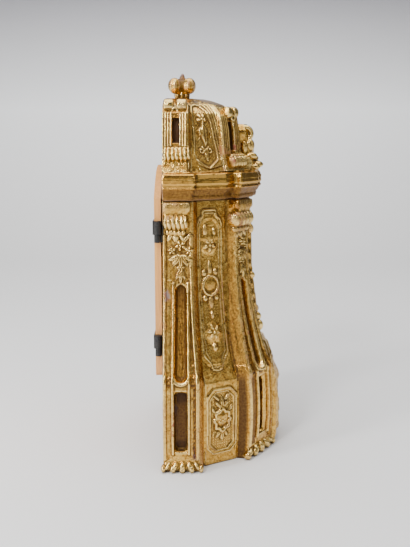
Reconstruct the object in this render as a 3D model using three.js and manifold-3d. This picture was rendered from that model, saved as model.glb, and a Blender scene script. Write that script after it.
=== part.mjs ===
// A gilded half-domed reliquary: a carved case on a bombé pedestal, a domed crown and a wooden back door.
// Millimetres, +Z up, the front faces -Y. The proper right side is at -X, where the door's hinges are.

import * as THREE from 'three';
import { mergeVertices } from 'three/addons/utils/BufferGeometryUtils.js';
import Module from 'manifold-3d';

const wasm = await Module();
wasm.setup();

// Heights above the surface that the reliquary stands on
const footHeight = 12;
const kneeHeight = 93;
const waistHeight = 220;
const caseHeight = 269.5;
const corniceHeight = 27;
const domeHeight = 74;
const finialHeight = 26;

// Plan, as distances from the upright line that the finial stands on
const backDepth = 18;
const rearReach = 102;
const cornerReach = 96;
const panelReach = 89;
const apronReach = 105;
const bayReach = 92;
const waistInset = 24.5;
const panelInset = 25;
const bayInset = 22;
const panelTurn = 30;
const cornerTurn = 56;
const flarePower = 1.8;
const bellyPower = 3.3;

// Piers
const rearFront = 12;
const rearNarrowing = 5;
const cornerWidth = 42;
const cornerNarrowing = 18;
const cornerShift = 3;
const pierRelief = 14;
const splayDepth = 5;
const splayWidth = 6;
const pedestalSwell = 3;
const slotWidth = 12.5;
const slotDepth = 8;
const slotMargin = 10;
const grooveDrop = 33;
const grooveRise = 1;
const grooveDepth = 7;
const blockHeight = 10;
const blockOverhang = 6;
const capitalRadius = 8;
const capitalGap = 2;
const capitalLobes = 4;
const footLobes = 4;
const footOverhang = 4;
const lobeWaist = 0.78;

// Case
const wall = 8;
const floorRise = 5;
const openingDrop = 13.5;
const panelLedge = 13;
const panelRelief = 6;
const panelFrom = -29;
const panelTo = 19;
const panelShift = -5;
const panelNarrowing = 8;
const pierBacking = 3;
const panelLedgeStep = 5;
const railWidth = 2.4;
const railRise = 1.6;
const frameHalf = 14;
const frameNeck = 8;
const frameDrop = 18;
const frameRise = 12;
const frameEar = 8;
const baseFrameHalf = 17;
const baseFrameNeck = 11;
const baseFrameChamfer = 7;
const baseFrameDrop = 14;
const rosetteRadius = 9;
const rosetteRise = 3;
const upperRosetteDrop = 38;
const middleRosetteRise = 5;
const lowerRosetteRise = 42;
const baseRosetteDrop = 3;
const apronRise = 29;
const apronHalfWidth = 31;
const apronBow = 3;
const windowWidth = 27;
const windowRise = 14;
const windowDrop = 23.5;
const windowRailWidth = 5;
const windowRailRise = 3.5;
const glassThickness = 2;
const glassLap = 2;

// Crown
const seatGap = 0.3;
const corniceLip = 5;
const corniceMoulding = 6;
const rearOverhang = 7.5;
const sideOverhang = 16;
const cornerOverhang = 3.5;
const frontOverhang = 14;
const domeSetback = 13;
const domeFrontSetback = 18;
const rearRibReach = 6;
const cornerRibReach = 10;
const ribWidth = 25;
const ribEdge = 1;
const ribTaper = 1.5;
const ribRelief = 5;
const ribSlotWidth = 5;
const ribSlotDepth = 6;
const ribFootRadius = 8;
const ribFootOverhang = 3;
const ribFootLobes = 4;
const scrollRadius = 7;
const finialLobes = 4;
const finialLobeRadius = 7;
const finialNeckLip = 2;
const finialStemWidth = 6;
const stubWidth = 4.5;
const cartoucheWidth = 46;
const cartoucheHeight = 48;
const cartoucheSetback = 4;
const cartoucheLean = 11;
const cartoucheBow = 4;
const cartoucheFlowerDepth = 7;
const cupRadius = 9;

// Door and hinges
const doorMargin = 3.5;
const doorOverlap = 22;
const doorThickness = 6.6;
const doorGap = 1.4;
const doorDrop = 3;
const doorShoulder = 2.5;
const doorRise = 30;
const doorCornerRadius = 8;
const barrelRadius = 3.9;
const knuckleRadius = 3.2;
const pinRadius = 1.5;
const pinPlay = 0.5;
const hingeLength = 21;
const knuckleLength = 7;
const hingePlay = 0.6;
const upperHingeDrop = 40.5;
const lowerHingeRise = 24;
const leafThickness = 1.1;
const leafWidth = 16;
const fitGap = 0.3;

// How far pieces run past the flat back and foot before they are cut level with them
const overrun = 2;

// How far applied carving runs into the face that carries it
const rooting = 2;

// Values worked out from the sizes above
const corniceTop = caseHeight + corniceHeight;
const crestHeight = corniceTop + domeHeight;
const grooveTop = waistHeight - grooveDrop;
const compartmentFloor = kneeHeight + floorRise;
const openingTop = caseHeight - openingDrop;
const apronTop = kneeHeight + apronRise;
const windowFoot = apronTop + windowRise;
const windowHead = caseHeight - windowDrop;
const doorHalfWidth = rearReach - waistInset - doorMargin;
const openingHalfWidth = doorHalfWidth - doorOverlap;
const doorFoot = kneeHeight - doorDrop;
const doorSpring = caseHeight + doorShoulder;
const upperHingeFoot = caseHeight - upperHingeDrop;
const lowerHingeFoot = doorFoot + lowerHingeRise;
const doorBack = backDepth + doorGap + doorThickness;
const axisDepth = backDepth + doorGap + doorThickness / 2;
const axisAside = doorHalfWidth + barrelRadius + fitGap;
const backReach = Math.max(doorBack + fitGap + leafThickness, axisDepth + barrelRadius);
const middle = (apronReach - backReach) / 2;

const gold = { color: 0xb98a3c, roughness: 0.35, metalness: 0.9 };
const paleWood = { color: 0xc79a72, roughness: 0.8, metalness: 0 };
const iron = { color: 0x1d1c1b, roughness: 0.65, metalness: 0.5 };
const clear = { color: 0xdfe8e6, roughness: 0.08, metalness: 0 };

// Joining and cutting

function solidOf(geometry) {
  const bare = geometry.clone();
  bare.deleteAttribute('normal');
  bare.deleteAttribute('uv');
  const merged = mergeVertices(bare, 1e-4);
  const mesh = new wasm.Mesh({
    numProp: 3,
    vertProperties: new Float32Array(merged.attributes.position.array),
    triVerts: new Uint32Array(merged.index.array),
  });
  return new wasm.Manifold(mesh);
}

function join(geometries) {
  const [first, ...others] = geometries.map(solidOf);
  return others.reduce((whole, next) => whole.add(next), first);
}

function cut(solid, geometries) {
  return geometries.map(solidOf).reduce((whole, next) => whole.subtract(next), solid);
}

function meshOf(name, solid, look) {
  const { vertProperties, triVerts } = solid.getMesh();
  const geometry = new THREE.BufferGeometry();
  geometry.setAttribute('position', new THREE.BufferAttribute(vertProperties, 3));
  geometry.setIndex(new THREE.BufferAttribute(triVerts, 1));
  const mesh = new THREE.Mesh(geometry, new THREE.MeshStandardMaterial(look));
  mesh.name = name;
  return mesh;
}

/** The same geometry on the other side of the reliquary. */
function mirrored(geometry) {
  const other = geometry.index ? geometry.toNonIndexed() : geometry.clone();
  const place = other.attributes.position;
  for (let corner = 0; corner < place.count; corner += 3) {
    const kept = new THREE.Vector3().fromBufferAttribute(place, corner + 1);
    const moved = new THREE.Vector3().fromBufferAttribute(place, corner + 2);
    place.setXYZ(corner, -place.getX(corner), place.getY(corner), place.getZ(corner));
    place.setXYZ(corner + 1, -moved.x, moved.y, moved.z);
    place.setXYZ(corner + 2, -kept.x, kept.y, kept.z);
  }
  return other;
}

function bothSides(geometries) {
  return [...geometries, ...geometries.map(mirrored)];
}

// Places in plan: a turn of 0 faces the proper right side, and 90 faces the front

function place(turn, reach, along, height) {
  const angle = THREE.MathUtils.degToRad(turn);
  const out = [-Math.cos(angle), -Math.sin(angle)];
  const side = [Math.sin(angle), -Math.cos(angle)];
  return [out[0] * reach + side[0] * along, out[1] * reach + side[1] * along, height];
}

/** Where two upright faces of the plan meet, each given by its turn and reach. */
function meeting([turnA, reachA], [turnB, reachB], height) {
  const a = THREE.MathUtils.degToRad(turnA);
  const b = THREE.MathUtils.degToRad(turnB);
  const span = Math.sin(b - a);
  const x = -(reachA * Math.sin(b) - reachB * Math.sin(a)) / span;
  const y = -(reachB * Math.cos(a) - reachA * Math.cos(b)) / span;
  return [x, y, height];
}

/** A convex outline from faces listed on one side, mirrored to the other and closed along the back. */
function planOutline(faces, height) {
  const right = [[-90, backDepth + overrun], ...faces].map((face, index, all) =>
    index + 1 < all.length ? meeting(face, all[index + 1], height) : null).filter(Boolean);
  const left = right.map(([x, y, z]) => [-x, y, z]).reverse();
  return [...right, ...left];
}

/** A closed solid through a pile of convex outlines with the same number of corners. */
function loft(rings) {
  const corners = rings[0].length;
  const index = [];
  for (let level = 0; level + 1 < rings.length; level += 1) {
    const low = level * corners;
    const high = low + corners;
    for (let corner = 0; corner < corners; corner += 1) {
      const next = (corner + 1) % corners;
      index.push(low + corner, low + next, high + next, low + corner, high + next, high + corner);
    }
  }
  const top = (rings.length - 1) * corners;
  for (let corner = 1; corner + 1 < corners; corner += 1) {
    index.push(0, corner + 1, corner, top, top + corner, top + corner + 1);
  }
  const geometry = new THREE.BufferGeometry();
  geometry.setAttribute('position', new THREE.Float32BufferAttribute(rings.flat(2), 3));
  geometry.setIndex(index);
  return geometry;
}

/** A closed ring through outlines that come back to the first one. */
function hoop(rings) {
  const corners = rings[0].length;
  const index = [];
  rings.forEach((ring, level) => {
    const low = level * corners;
    const high = ((level + 1) % rings.length) * corners;
    ring.forEach((point, corner) => {
      const next = (corner + 1) % corners;
      index.push(low + corner, low + next, high + next, low + corner, high + next, high + corner);
    });
  });
  const geometry = new THREE.BufferGeometry();
  geometry.setAttribute('position', new THREE.Float32BufferAttribute(rings.flat(2), 3));
  geometry.setIndex(index);
  return geometry;
}

function steps(from, to, count) {
  return Array.from({ length: count + 1 }, (unused, step) => from + ((to - from) * step) / count);
}

// Outlines in height: how far each face stands out

/** 0 at the waist and above, 1 at the knee, in one hollow curve. */
function flare(height) {
  const share = (waistHeight - height) / (waistHeight - kneeHeight);
  return THREE.MathUtils.clamp(share, 0, 1) ** flarePower;
}

function swell(height) {
  const share = THREE.MathUtils.clamp(height / kneeHeight, 0, 1);
  return pedestalSwell * Math.sin(Math.PI * share);
}

function pierReach(reach, height) {
  return reach - waistInset * (1 - flare(height)) + swell(height);
}

function panelReachAt(height) {
  const ledge = THREE.MathUtils.clamp((height - kneeHeight + panelLedge / 2) / panelLedge, 0, 1);
  const upper = panelReach - panelLedgeStep - (panelInset - panelLedgeStep) * (1 - flare(height));
  return THREE.MathUtils.lerp(panelReach + swell(height) / 2, upper, ledge);
}

function bayReachAt(height) {
  return bayReach - bayInset * (1 - flare(height));
}

/** The bombé apron under the window: a quick shoulder, a long belly and a tucked foot. */
function apronReachAt(height) {
  const shoulder = THREE.MathUtils.clamp((height - footHeight) / (apronTop - footHeight), 0, 1);
  const tuck = THREE.MathUtils.clamp(1 - height / footHeight, 0, 1);
  const top = bayReachAt(apronTop);
  return apronReach - (apronReach - top) * shoulder ** bellyPower - splayDepth * tuck ** 2;
}

const pierLevels = [
  -overrun, footHeight, ...steps(footHeight, kneeHeight, 3).slice(1),
  ...steps(kneeHeight, waistHeight, 5).slice(1), caseHeight,
];

// Piers, with their grooves, slots, capitals and feet

/** The face of a pier at a height: its turn, reach and the two edges along it. */
const piers = {
  rear: {
    turn: 0,
    reachAt: (height) => pierReach(rearReach, height),
    edgesAt: (height) => [-backDepth - overrun, rearFront - rearNarrowing * (1 - flare(height))],
    centre: 0,
  },
  corner: {
    turn: cornerTurn,
    reachAt: (height) => pierReach(cornerReach, height),
    edgesAt: (height) => {
      const half = (cornerWidth - cornerNarrowing * (1 - flare(height))) / 2;
      return [cornerShift - half, cornerShift + half];
    },
    centre: cornerShift,
  },
};

function pierBody({ turn, reachAt, edgesAt }) {
  const root = pierRelief + wall;
  return loft(pierLevels.map((height) => {
    const reach = reachAt(height);
    const [from, to] = edgesAt(height);
    const before = turn === 0 ? from : from - splayWidth / 2;
    return [
      place(turn, reach - root, before, height),
      place(turn, reach - splayDepth, before, height),
      place(turn, reach, from, height),
      place(turn, reach, to, height),
      place(turn, reach - splayDepth, to + splayWidth, height),
      place(turn, reach - root, to + splayWidth, height),
    ];
  }));
}

/** A cutter for an upright groove that narrows to a round end at both ends. */
function grooveCutter({ turn, reachAt, centre }, from, to, depth) {
  const round = slotWidth / 2;
  const levels = [from, from + round / 3, from + round, ...steps(from + round, to - round, 4).slice(1),
    to - round / 3, to];
  return loft(levels.map((height) => {
    const end = Math.min(height - from, to - height, round);
    const half = Math.sqrt(round ** 2 - (round - end) ** 2) * 0.9 + round * 0.1;
    const floor = reachAt(height) - depth;
    const mouth = reachAt(height) + slotDepth;
    return [
      place(turn, floor, centre - half, height), place(turn, mouth, centre - half, height),
      place(turn, mouth, centre + half, height), place(turn, floor, centre + half, height),
    ];
  }));
}

/** A cutter for the square-ended slot in the pedestal. */
function slotCutter({ turn, reachAt, centre }) {
  const half = slotWidth / 2;
  return loft(steps(footHeight + slotMargin, kneeHeight - slotMargin, 3).map((height) => [
    place(turn, reachAt(height) - slotDepth, centre - half, height),
    place(turn, reachAt(height) + slotDepth, centre - half, height),
    place(turn, reachAt(height) + slotDepth, centre + half, height),
    place(turn, reachAt(height) - slotDepth, centre + half, height),
  ]));
}

/** A lobed roll lying across a face, such as a scrolled capital or a row of toes. */
function lobedRoll({ turn, reach, height, from, to, radius, lobes }) {
  const sides = 8;
  const rings = steps(0, lobes * 2, lobes * 2).map((step) => {
    const along = from + ((to - from) * step) / (lobes * 2);
    const size = radius * (step % 2 === 1 ? 1 : lobeWaist);
    return Array.from({ length: sides }, (unused, side) => {
      const angle = ((side + 0.5) / sides) * Math.PI * 2;
      return place(turn, reach + size * Math.sin(angle), along, height + size * Math.cos(angle));
    });
  });
  return loft(rings);
}

function pierBlock(pier, low, high, out) {
  const [from, to] = pier.edgesAt(high);
  const reach = pier.reachAt(waistHeight);
  const before = pier.turn === 0 ? from : from - out / 2;
  return loft([low, high].map((height) => [
    place(pier.turn, reach - pierRelief, before, height), place(pier.turn, reach + out, before, height),
    place(pier.turn, reach + out, to + out / 2, height),
    place(pier.turn, reach - pierRelief, to + out / 2, height),
  ]));
}

function pierTrim(pier) {
  const atBack = -backDepth + fitGap;
  const [from, to] = pier.edgesAt(waistHeight);
  const [toeFrom, toeTo] = pier.edgesAt(0);
  const capitalHeight = caseHeight - blockHeight - capitalRadius - capitalGap;
  return [
    pierBlock(pier, caseHeight - blockHeight, caseHeight, blockOverhang),
    lobedRoll({
      turn: pier.turn, reach: pier.reachAt(waistHeight) + blockOverhang / 4, height: capitalHeight,
      from: Math.max(from, atBack), to, radius: capitalRadius, lobes: capitalLobes,
    }),
    lobedRoll({
      turn: pier.turn, reach: pier.reachAt(0) + footOverhang - footHeight / 2, height: footHeight / 2,
      from: Math.max(toeFrom - splayWidth / 2, atBack), to: toeTo + splayWidth / 2,
      radius: footHeight / 2, lobes: footLobes,
    }),
  ];
}

// Carving that stands out from a face

/** A raised bar that follows a closed path drawn as along and height, on a face that bends with height. */
function rail(path, turn, reachAt, width, rise) {
  return hoop(path.map(([along, height], index) => {
    const before = path[(index + path.length - 1) % path.length];
    const after = path[(index + 1) % path.length];
    const run = new THREE.Vector2(after[0] - before[0], after[1] - before[1]).normalize();
    const inner = [along - (run.y * width) / 2, height + (run.x * width) / 2];
    const outer = [along + (run.y * width) / 2, height - (run.x * width) / 2];
    return [
      place(turn, reachAt(inner[1]) - rooting, inner[0], inner[1]),
      place(turn, reachAt(inner[1]) + rise, inner[0], inner[1]),
      place(turn, reachAt(outer[1]) + rise, outer[0], outer[1]),
      place(turn, reachAt(outer[1]) - rooting, outer[0], outer[1]),
    ];
  }));
}

/** A round flower: a notched disc with a stepped boss on it. */
function rosette(turn, reachAt, along, height, radius, rise, petals) {
  const sides = petals * 2;
  const notch = 0.82;
  const step = 0.7;
  const boss = 0.45;
  const slope = reachAt(height + 1) - reachAt(height);
  const ring = (share, lift) => Array.from({ length: sides }, (unused, side) => {
    const angle = (side / sides) * Math.PI * 2;
    const size = radius * share * (side % 2 === 0 ? 1 : notch);
    const up = size * Math.sin(angle);
    return place(turn, reachAt(height) + slope * up + lift, along + size * Math.cos(angle), height + up);
  });
  return loft([ring(1, -rooting), ring(1, rise * step), ring(step, rise * step), ring(boss, rise)]);
}

/** A closed path through points on one side of a face's middle and their mirror images. */
function closedPath(half) {
  return [...half, ...half.map(([along, height]) => [-along, height]).reverse()];
}

function panelPath() {
  const top = caseHeight - frameDrop;
  const foot = kneeHeight + frameRise;
  const side = steps(foot + frameEar, top - frameRise, 5).map((height) => [frameHalf, height]);
  return closedPath([[frameNeck, foot], ...side, [frameNeck, top - rosetteRise], [frameNeck - rooting, top]]);
}

function basePanelPath() {
  const low = footHeight;
  const high = kneeHeight - baseFrameDrop;
  return closedPath([
    [baseFrameNeck, low], [baseFrameHalf, low + baseFrameChamfer], [baseFrameHalf, (low + high) / 2],
    [baseFrameHalf, high - baseFrameChamfer], [baseFrameNeck, high],
  ]);
}

function panelCarving() {
  const shift = ([along, height]) => [along + panelShift, height];
  const flower = (height, radius, petals) =>
    rosette(panelTurn, panelReachAt, panelShift, height, radius, rosetteRise, petals);
  return [
    rail(panelPath().map(shift), panelTurn, panelReachAt, railWidth, railRise),
    rail(basePanelPath().map(shift), panelTurn, panelReachAt, railWidth, railRise),
    flower(caseHeight - upperRosetteDrop, rosetteRadius, 6),
    flower((caseHeight + kneeHeight) / 2 + middleRosetteRise, rosetteRadius, 8),
    flower(kneeHeight + lowerRosetteRise, rosetteRadius, 6),
    flower((footHeight + kneeHeight) / 2 - baseRosetteDrop, rosetteRadius, 6),
  ];
}

// The front: apron, window and its frame

function apron() {
  const root = bayReachAt(waistHeight) - wall / 2;
  const levels = [-overrun, footHeight / 2, footHeight, ...steps(footHeight, apronTop, 7).slice(1)];
  return loft(levels.map((height) => {
    const reach = apronReachAt(height);
    const half = apronHalfWidth;
    return [
      place(90, root, -half, height), place(90, reach - apronBow, -half, height),
      place(90, reach, -half / 3, height), place(90, reach, half / 3, height),
      place(90, reach - apronBow, half, height), place(90, root, half, height),
    ];
  }));
}

/** The window's outline, with round ends, at a distance outside its opening. */
function windowPath(outside) {
  const half = windowWidth / 2 + outside;
  const low = windowFoot + windowWidth / 2;
  const high = windowHead - windowWidth / 2;
  const arc = (centre, start) => steps(start, start + Math.PI, 6).map((angle) =>
    [half * Math.cos(angle), centre + half * Math.sin(angle)]);
  return [...arc(high, 0), [-half, (low + high) / 2], ...arc(low, Math.PI), [half, (low + high) / 2]];
}

function windowCutter(outside, from, to) {
  const path = windowPath(outside);
  const ring = (reach) => path.map(([along, height]) => place(90, reach, along, height));
  return loft([ring(from), ring(to)]);
}

const glassInner = bayReachAt(waistHeight) - wall - fitGap;

// Case

function coreFaces(height, inset) {
  return [
    [0, pierReach(rearReach, height) - pierRelief / 2 - inset],
    [panelTurn, panelReachAt(height) - panelRelief - inset],
    [cornerTurn, pierReach(cornerReach, height) - pierBacking - inset],
    [90, bayReachAt(height) - inset],
  ];
}

/** The raised field of a side panel, from the floor to the cornice. */
function panelField() {
  const levels = [-overrun, kneeHeight / 2, kneeHeight - panelLedge / 2,
    ...steps(kneeHeight + panelLedge / 2, waistHeight, 4), caseHeight];
  return loft(levels.map((height) => {
    const reach = panelReachAt(height);
    const narrowing = panelNarrowing * (1 - flare(height));
    const from = panelFrom + narrowing;
    const to = panelTo - narrowing / 2;
    return [
      place(panelTurn, reach - pierRelief, from, height), place(panelTurn, reach, from, height),
      place(panelTurn, reach, to, height), place(panelTurn, reach - pierRelief, to, height),
    ];
  }));
}

function caseCore() {
  const levels = [-overrun, footHeight, kneeHeight / 2, kneeHeight - panelLedge / 2,
    ...steps(kneeHeight + panelLedge / 2, waistHeight, 5), caseHeight];
  return loft(levels.map((height) => planOutline(coreFaces(height, 0), height)));
}

/** The relic compartment: it follows the walls, is level below and open to the top. */
function compartment() {
  const levels = [compartmentFloor, ...steps(compartmentFloor, waistHeight, 4).slice(1), caseHeight + wall];
  return loft(levels.map((height) => {
    const faces = coreFaces(height, wall);
    faces[0][1] -= wall / 2;
    faces[3][1] = bayReachAt(waistHeight) - wall;
    const outline = planOutline(faces, height);
    return outline.map(([x, y, z]) => [x, Math.min(y, backDepth - wall), z]);
  }));
}

function boxBetween([x0, x1], [y0, y1], [z0, z1]) {
  const box = new THREE.BoxGeometry(x1 - x0, y1 - y0, z1 - z0);
  return box.translate((x0 + x1) / 2, (y0 + y1) / 2, (z0 + z1) / 2);
}

function backOpening() {
  const half = openingHalfWidth;
  return boxBetween([-half, half], [-1, backDepth + wall], [compartmentFloor, openingTop]);
}

/** The recess in the case's back for the fixed leaf of a hinge. */
function leafRecess(foot) {
  const depth = leafThickness + fitGap * 2;
  return boxBetween([-axisAside - fitGap, -axisAside + leafWidth + fitGap],
    [backDepth - depth, backDepth + wall], [foot - fitGap, foot + hingeLength + fitGap]);
}

function buildCase() {
  const sides = Object.values(piers);
  const carved = bothSides([
    panelField(), ...sides.map(pierBody), ...sides.flatMap(pierTrim), ...panelCarving(),
  ]);
  const bodies = [
    caseCore(), apron(), ...carved,
    rail(windowPath(windowRailWidth / 2), 90, bayReachAt, windowRailWidth, windowRailRise),
    rosette(90, apronReachAt, 0, (apronTop + footHeight) / 2, rosetteRadius * 1.5, rosetteRise / 2, 8),
  ];
  const slots = sides.flatMap((pier) => [
    slotCutter(pier), grooveCutter(pier, kneeHeight - grooveRise, grooveTop, grooveDepth),
  ]);
  const across = [-rearReach * 2, rearReach * 2];
  const underground = boxBetween(across, [-apronReach * 2, apronReach * 2], [-wall, 0]);
  const behind = boxBetween(across, [backDepth, apronReach], [-wall, crestHeight]);
  const glassSeat = glassInner + glassThickness + fitGap * 2;
  const cuts = [
    compartment(), backOpening(), ...bothSides(slots), underground, behind,
    windowCutter(0, glassInner - wall, apronReach),
    windowCutter(glassLap + fitGap, glassInner - wall, glassSeat),
    leafRecess(upperHingeFoot), leafRecess(lowerHingeFoot),
  ];
  return cut(join(bodies), cuts);
}

// Crown: cornice, dome, ribs, cartouche and finial

/** The cornice's moulding: shares of its height, and of how far its foot stands back. */
const corniceProfile = [[0, 1], [0.2, 0.83], [0.42, 0.27], [0.55, 0], [0.86, 0], [1, 0.4]];

/** The reach of each face of the crown, at its full width less an inset. */

function corniceFaces(inset) {
  return [
    [0, pierReach(rearReach, caseHeight) + rearOverhang - inset],
    [panelTurn, panelReachAt(caseHeight) + sideOverhang - inset],
    [cornerTurn, pierReach(cornerReach, caseHeight) + cornerOverhang - inset],
    [90, bayReachAt(caseHeight) + frontOverhang - inset],
  ];
}

function cornice() {
  const foot = caseHeight + seatGap;
  const height = corniceTop - foot;
  const body = loft(corniceProfile.map(([share, inset]) =>
    planOutline(corniceFaces(inset * corniceMoulding), foot + height * share)));
  const breaks = Object.values(piers).map((pier) => {
    const [from, to] = pier.edgesAt(caseHeight);
    const reach = pier.reachAt(caseHeight) + blockOverhang + corniceLip;
    return loft(corniceProfile.map(([share, insetShare]) => {
      const z = foot + height * share;
      const inset = insetShare * corniceMoulding;
      const before = pier.turn === 0 ? from : from - corniceLip + inset / 2;
      const after = to + blockOverhang / 2 + corniceLip - inset / 2;
      return [
        place(pier.turn, reach - pierRelief * 2, before, z), place(pier.turn, reach - inset, before, z),
        place(pier.turn, reach - inset, after, z), place(pier.turn, reach - pierRelief * 2, after, z),
      ];
    }));
  });
  return [body, ...bothSides(breaks)];
}

/** The dome's outline as shares of its height and of its reach at the foot. */
const domeProfile = [
  [0, 1], [0.1, 0.95], [0.27, 0.89], [0.55, 0.86], [0.78, 0.8], [0.9, 0.66], [0.97, 0.42], [1, 0.2],
];
const domeRoot = [-0.06, 1];
const ribShoulder = 0.6;

function domeFaces(share) {
  const faces = corniceFaces(domeSetback);
  faces[3][1] = bayReachAt(caseHeight) + frontOverhang - domeFrontSetback;
  return faces.map(([turn, reach]) => [turn, reach * share]);
}

function dome() {
  return loft([domeRoot, ...domeProfile].map(([rise, share]) =>
    planOutline(domeFaces(share), corniceTop + domeHeight * rise)));
}

function domeRib(turn, reach, from, to) {
  const profile = domeProfile.slice(0, -1);
  return loft([domeRoot, ...profile].map(([rise, share]) => {
    const z = corniceTop + domeHeight * rise + (rise > ribShoulder ? ribRelief / 3 : 0);
    const out = (reach - ribRelief) * share + ribRelief;
    const narrowing = rise > ribShoulder ? ribTaper : 0;
    return [
      place(turn, out - pierRelief * 2 * share, from, z), place(turn, out, from, z),
      place(turn, out, to - narrowing, z), place(turn, out - pierRelief * 2 * share, to - narrowing, z),
    ];
  }));
}

function ribParts(turn, reach, from, to) {
  const scrollShare = 0.8;
  return [
    domeRib(turn, reach, turn === 0 ? from - overrun : from, to),
    lobedRoll({
      turn, reach: reach - ribFootRadius / 3, height: corniceTop + ribFootRadius,
      from: from + fitGap, to: to + ribFootOverhang, radius: ribFootRadius, lobes: ribFootLobes,
    }),
    lobedRoll({
      turn, reach: reach * scrollShare, height: corniceTop + domeHeight * scrollShare,
      from: from + fitGap, to: to - rooting, radius: scrollRadius, lobes: 1,
    }),
  ];
}

function ribSlot(turn, reach, centre) {
  const half = ribSlotWidth / 2;
  const lowShare = 0.28;
  const highShare = 0.64;
  const reachShare = 0.87;
  const low = corniceTop + domeHeight * lowShare;
  const high = corniceTop + domeHeight * highShare;
  const out = reach + ribFootRadius;
  const floor = reach * reachShare - ribSlotDepth + ribRelief / 3;
  return loft([low, high].map((height) => [
    place(turn, floor, centre - half, height), place(turn, out, centre - half, height),
    place(turn, out, centre + half, height), place(turn, floor, centre + half, height),
  ]));
}

const cartoucheReach = bayReachAt(caseHeight) + frontOverhang - cartoucheSetback;

/** The shield's rows: shares of its height, of its lean and of its width. */
const cartoucheRows = [
  [-0.04, 0, 1], [0.12, 0, 1], [0.3, 0.45, 0.9], [0.6, 0.68, 0.72], [0.85, 0.82, 0.8], [1, 1, 0.62],
];

/** The upright carved shield in front of the dome, with a hollow cup at its head. */
function cartouche() {
  return loft(cartoucheRows.map(([rise, lean, share]) => {
    const half = (cartoucheWidth / 2) * share;
    const z = corniceTop + cartoucheHeight * rise;
    const reach = cartoucheReach - cartoucheLean * lean;
    return [
      place(90, reach - pierRelief * 2, -half, z), place(90, reach - cartoucheBow, -half, z),
      place(90, reach, -half / 2, z), place(90, reach, half / 2, z),
      place(90, reach - cartoucheBow, half, z), place(90, reach - pierRelief * 2, half, z),
    ];
  }));
}

function finial() {
  const lobeCentre = crestHeight + finialHeight / 2;
  const neckHeight = finialHeight * 0.35;
  const stemHeight = finialHeight * 0.86;
  const footFlare = 1.6;
  const headShare = 0.8;
  const neck = new THREE.LatheGeometry([
    new THREE.Vector2(0, -wall), new THREE.Vector2(finialStemWidth * footFlare, -wall),
    new THREE.Vector2(finialStemWidth, finialNeckLip),
    new THREE.Vector2(finialStemWidth * headShare, neckHeight), new THREE.Vector2(0, neckHeight),
  ], 8).rotateX(Math.PI / 2).translate(0, 0, crestHeight);
  const spread = 1.25;
  const stretch = 1.15;
  const lobes = Array.from({ length: finialLobes }, (unused, lobe) => {
    const angle = ((lobe + 0.5) / finialLobes) * Math.PI * 2;
    const out = finialLobeRadius * spread;
    return new THREE.SphereGeometry(finialLobeRadius, 8, 6).scale(1, 1, stretch)
      .translate(out * Math.cos(angle), out * Math.sin(angle), lobeCentre);
  });
  const stem = finialStemWidth / 2;
  const stub = stubWidth / 2;
  return [
    neck, ...lobes,
    boxBetween([-stem, stem], [-stem, stem], [crestHeight, crestHeight + stemHeight]),
    boxBetween([-stub, stub], [-stub, stub / 2], [crestHeight, crestHeight + finialHeight]),
  ];
}

function buildCrown() {
  const [rearDome, , cornerDome] = domeFaces(1);
  const rearRib = [0, rearDome[1] + rearRibReach];
  const cornerRib = [cornerTurn, cornerDome[1] + cornerRibReach];
  const rearRibFront = ribWidth - backDepth - ribEdge;
  const ribs = [
    ...ribParts(...rearRib, -backDepth, rearRibFront),
    ...ribParts(...cornerRib, cornerShift - ribWidth / 2, cornerShift + ribWidth / 2),
  ];
  const flowerShare = 0.45;
  const cupShare = 0.84;
  const flower = rosette(90, () => cartoucheReach - cartoucheFlowerDepth, 0,
    corniceTop + cartoucheHeight * flowerShare, rosetteRadius, rosetteRise, 6);
  const solid = join([...cornice(), dome(), ...bothSides(ribs), cartouche(), flower, ...finial()]);
  const cup = new THREE.SphereGeometry(cupRadius, 10, 6)
    .translate(0, cupRadius - cartoucheReach, corniceTop + cartoucheHeight * cupShare);
  const behind = boxBetween([-rearReach * 2, rearReach * 2], [backDepth, apronReach],
    [caseHeight, crestHeight * 2]);
  const slots = bothSides([
    ribSlot(...rearRib, (rearRibFront - backDepth) / 2), ribSlot(...cornerRib, cornerShift),
  ]);
  return cut(solid, [...slots, cup, behind]);
}

// Door, hinges and glass

function buildDoor() {
  const half = doorHalfWidth;
  const radius = doorCornerRadius;
  const outline = new THREE.Shape();
  outline.moveTo(-half + radius, doorFoot);
  outline.lineTo(half - radius, doorFoot);
  outline.absarc(half - radius, doorFoot + radius, radius, -Math.PI / 2, 0);
  outline.lineTo(half, doorSpring);
  const archRadius = (half ** 2 + doorRise ** 2) / (2 * doorRise);
  const archCentre = doorSpring + doorRise - archRadius;
  const spread = Math.asin(half / archRadius);
  outline.absarc(0, archCentre, archRadius, Math.PI / 2 - spread, Math.PI / 2 + spread);
  outline.lineTo(-half, doorFoot + radius);
  outline.absarc(-half + radius, doorFoot + radius, radius, Math.PI, Math.PI * 1.5);
  const board = new THREE.ExtrudeGeometry(outline, {
    depth: doorThickness, bevelEnabled: false, curveSegments: 8,
  });
  return solidOf(board.rotateX(Math.PI / 2).translate(0, doorBack, 0));
}

function upright(radius, foot, length, sides) {
  const post = new THREE.CylinderGeometry(radius, radius, length, sides);
  return post.rotateX(Math.PI / 2).translate(-axisAside, axisDepth, foot + length / 2);
}

/** The fixed half: a knuckle with a pin, and a leaf let into the case's back. */
function buildHingePin(foot) {
  const leafBack = backDepth - fitGap;
  const leafFront = leafBack - leafThickness;
  const arm = boxBetween([-axisAside, -axisAside + knuckleRadius - hingePlay],
    [leafFront, axisDepth], [foot, foot + knuckleLength]);
  const leaf = boxBetween([-axisAside, -axisAside + leafWidth], [leafFront, leafBack],
    [foot, foot + hingeLength]);
  return join([
    upright(knuckleRadius, foot, knuckleLength, 16),
    upright(pinRadius, foot + knuckleLength / 2, hingeLength - knuckleLength - hingePlay, 12),
    arm, leaf,
  ]);
}

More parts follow.
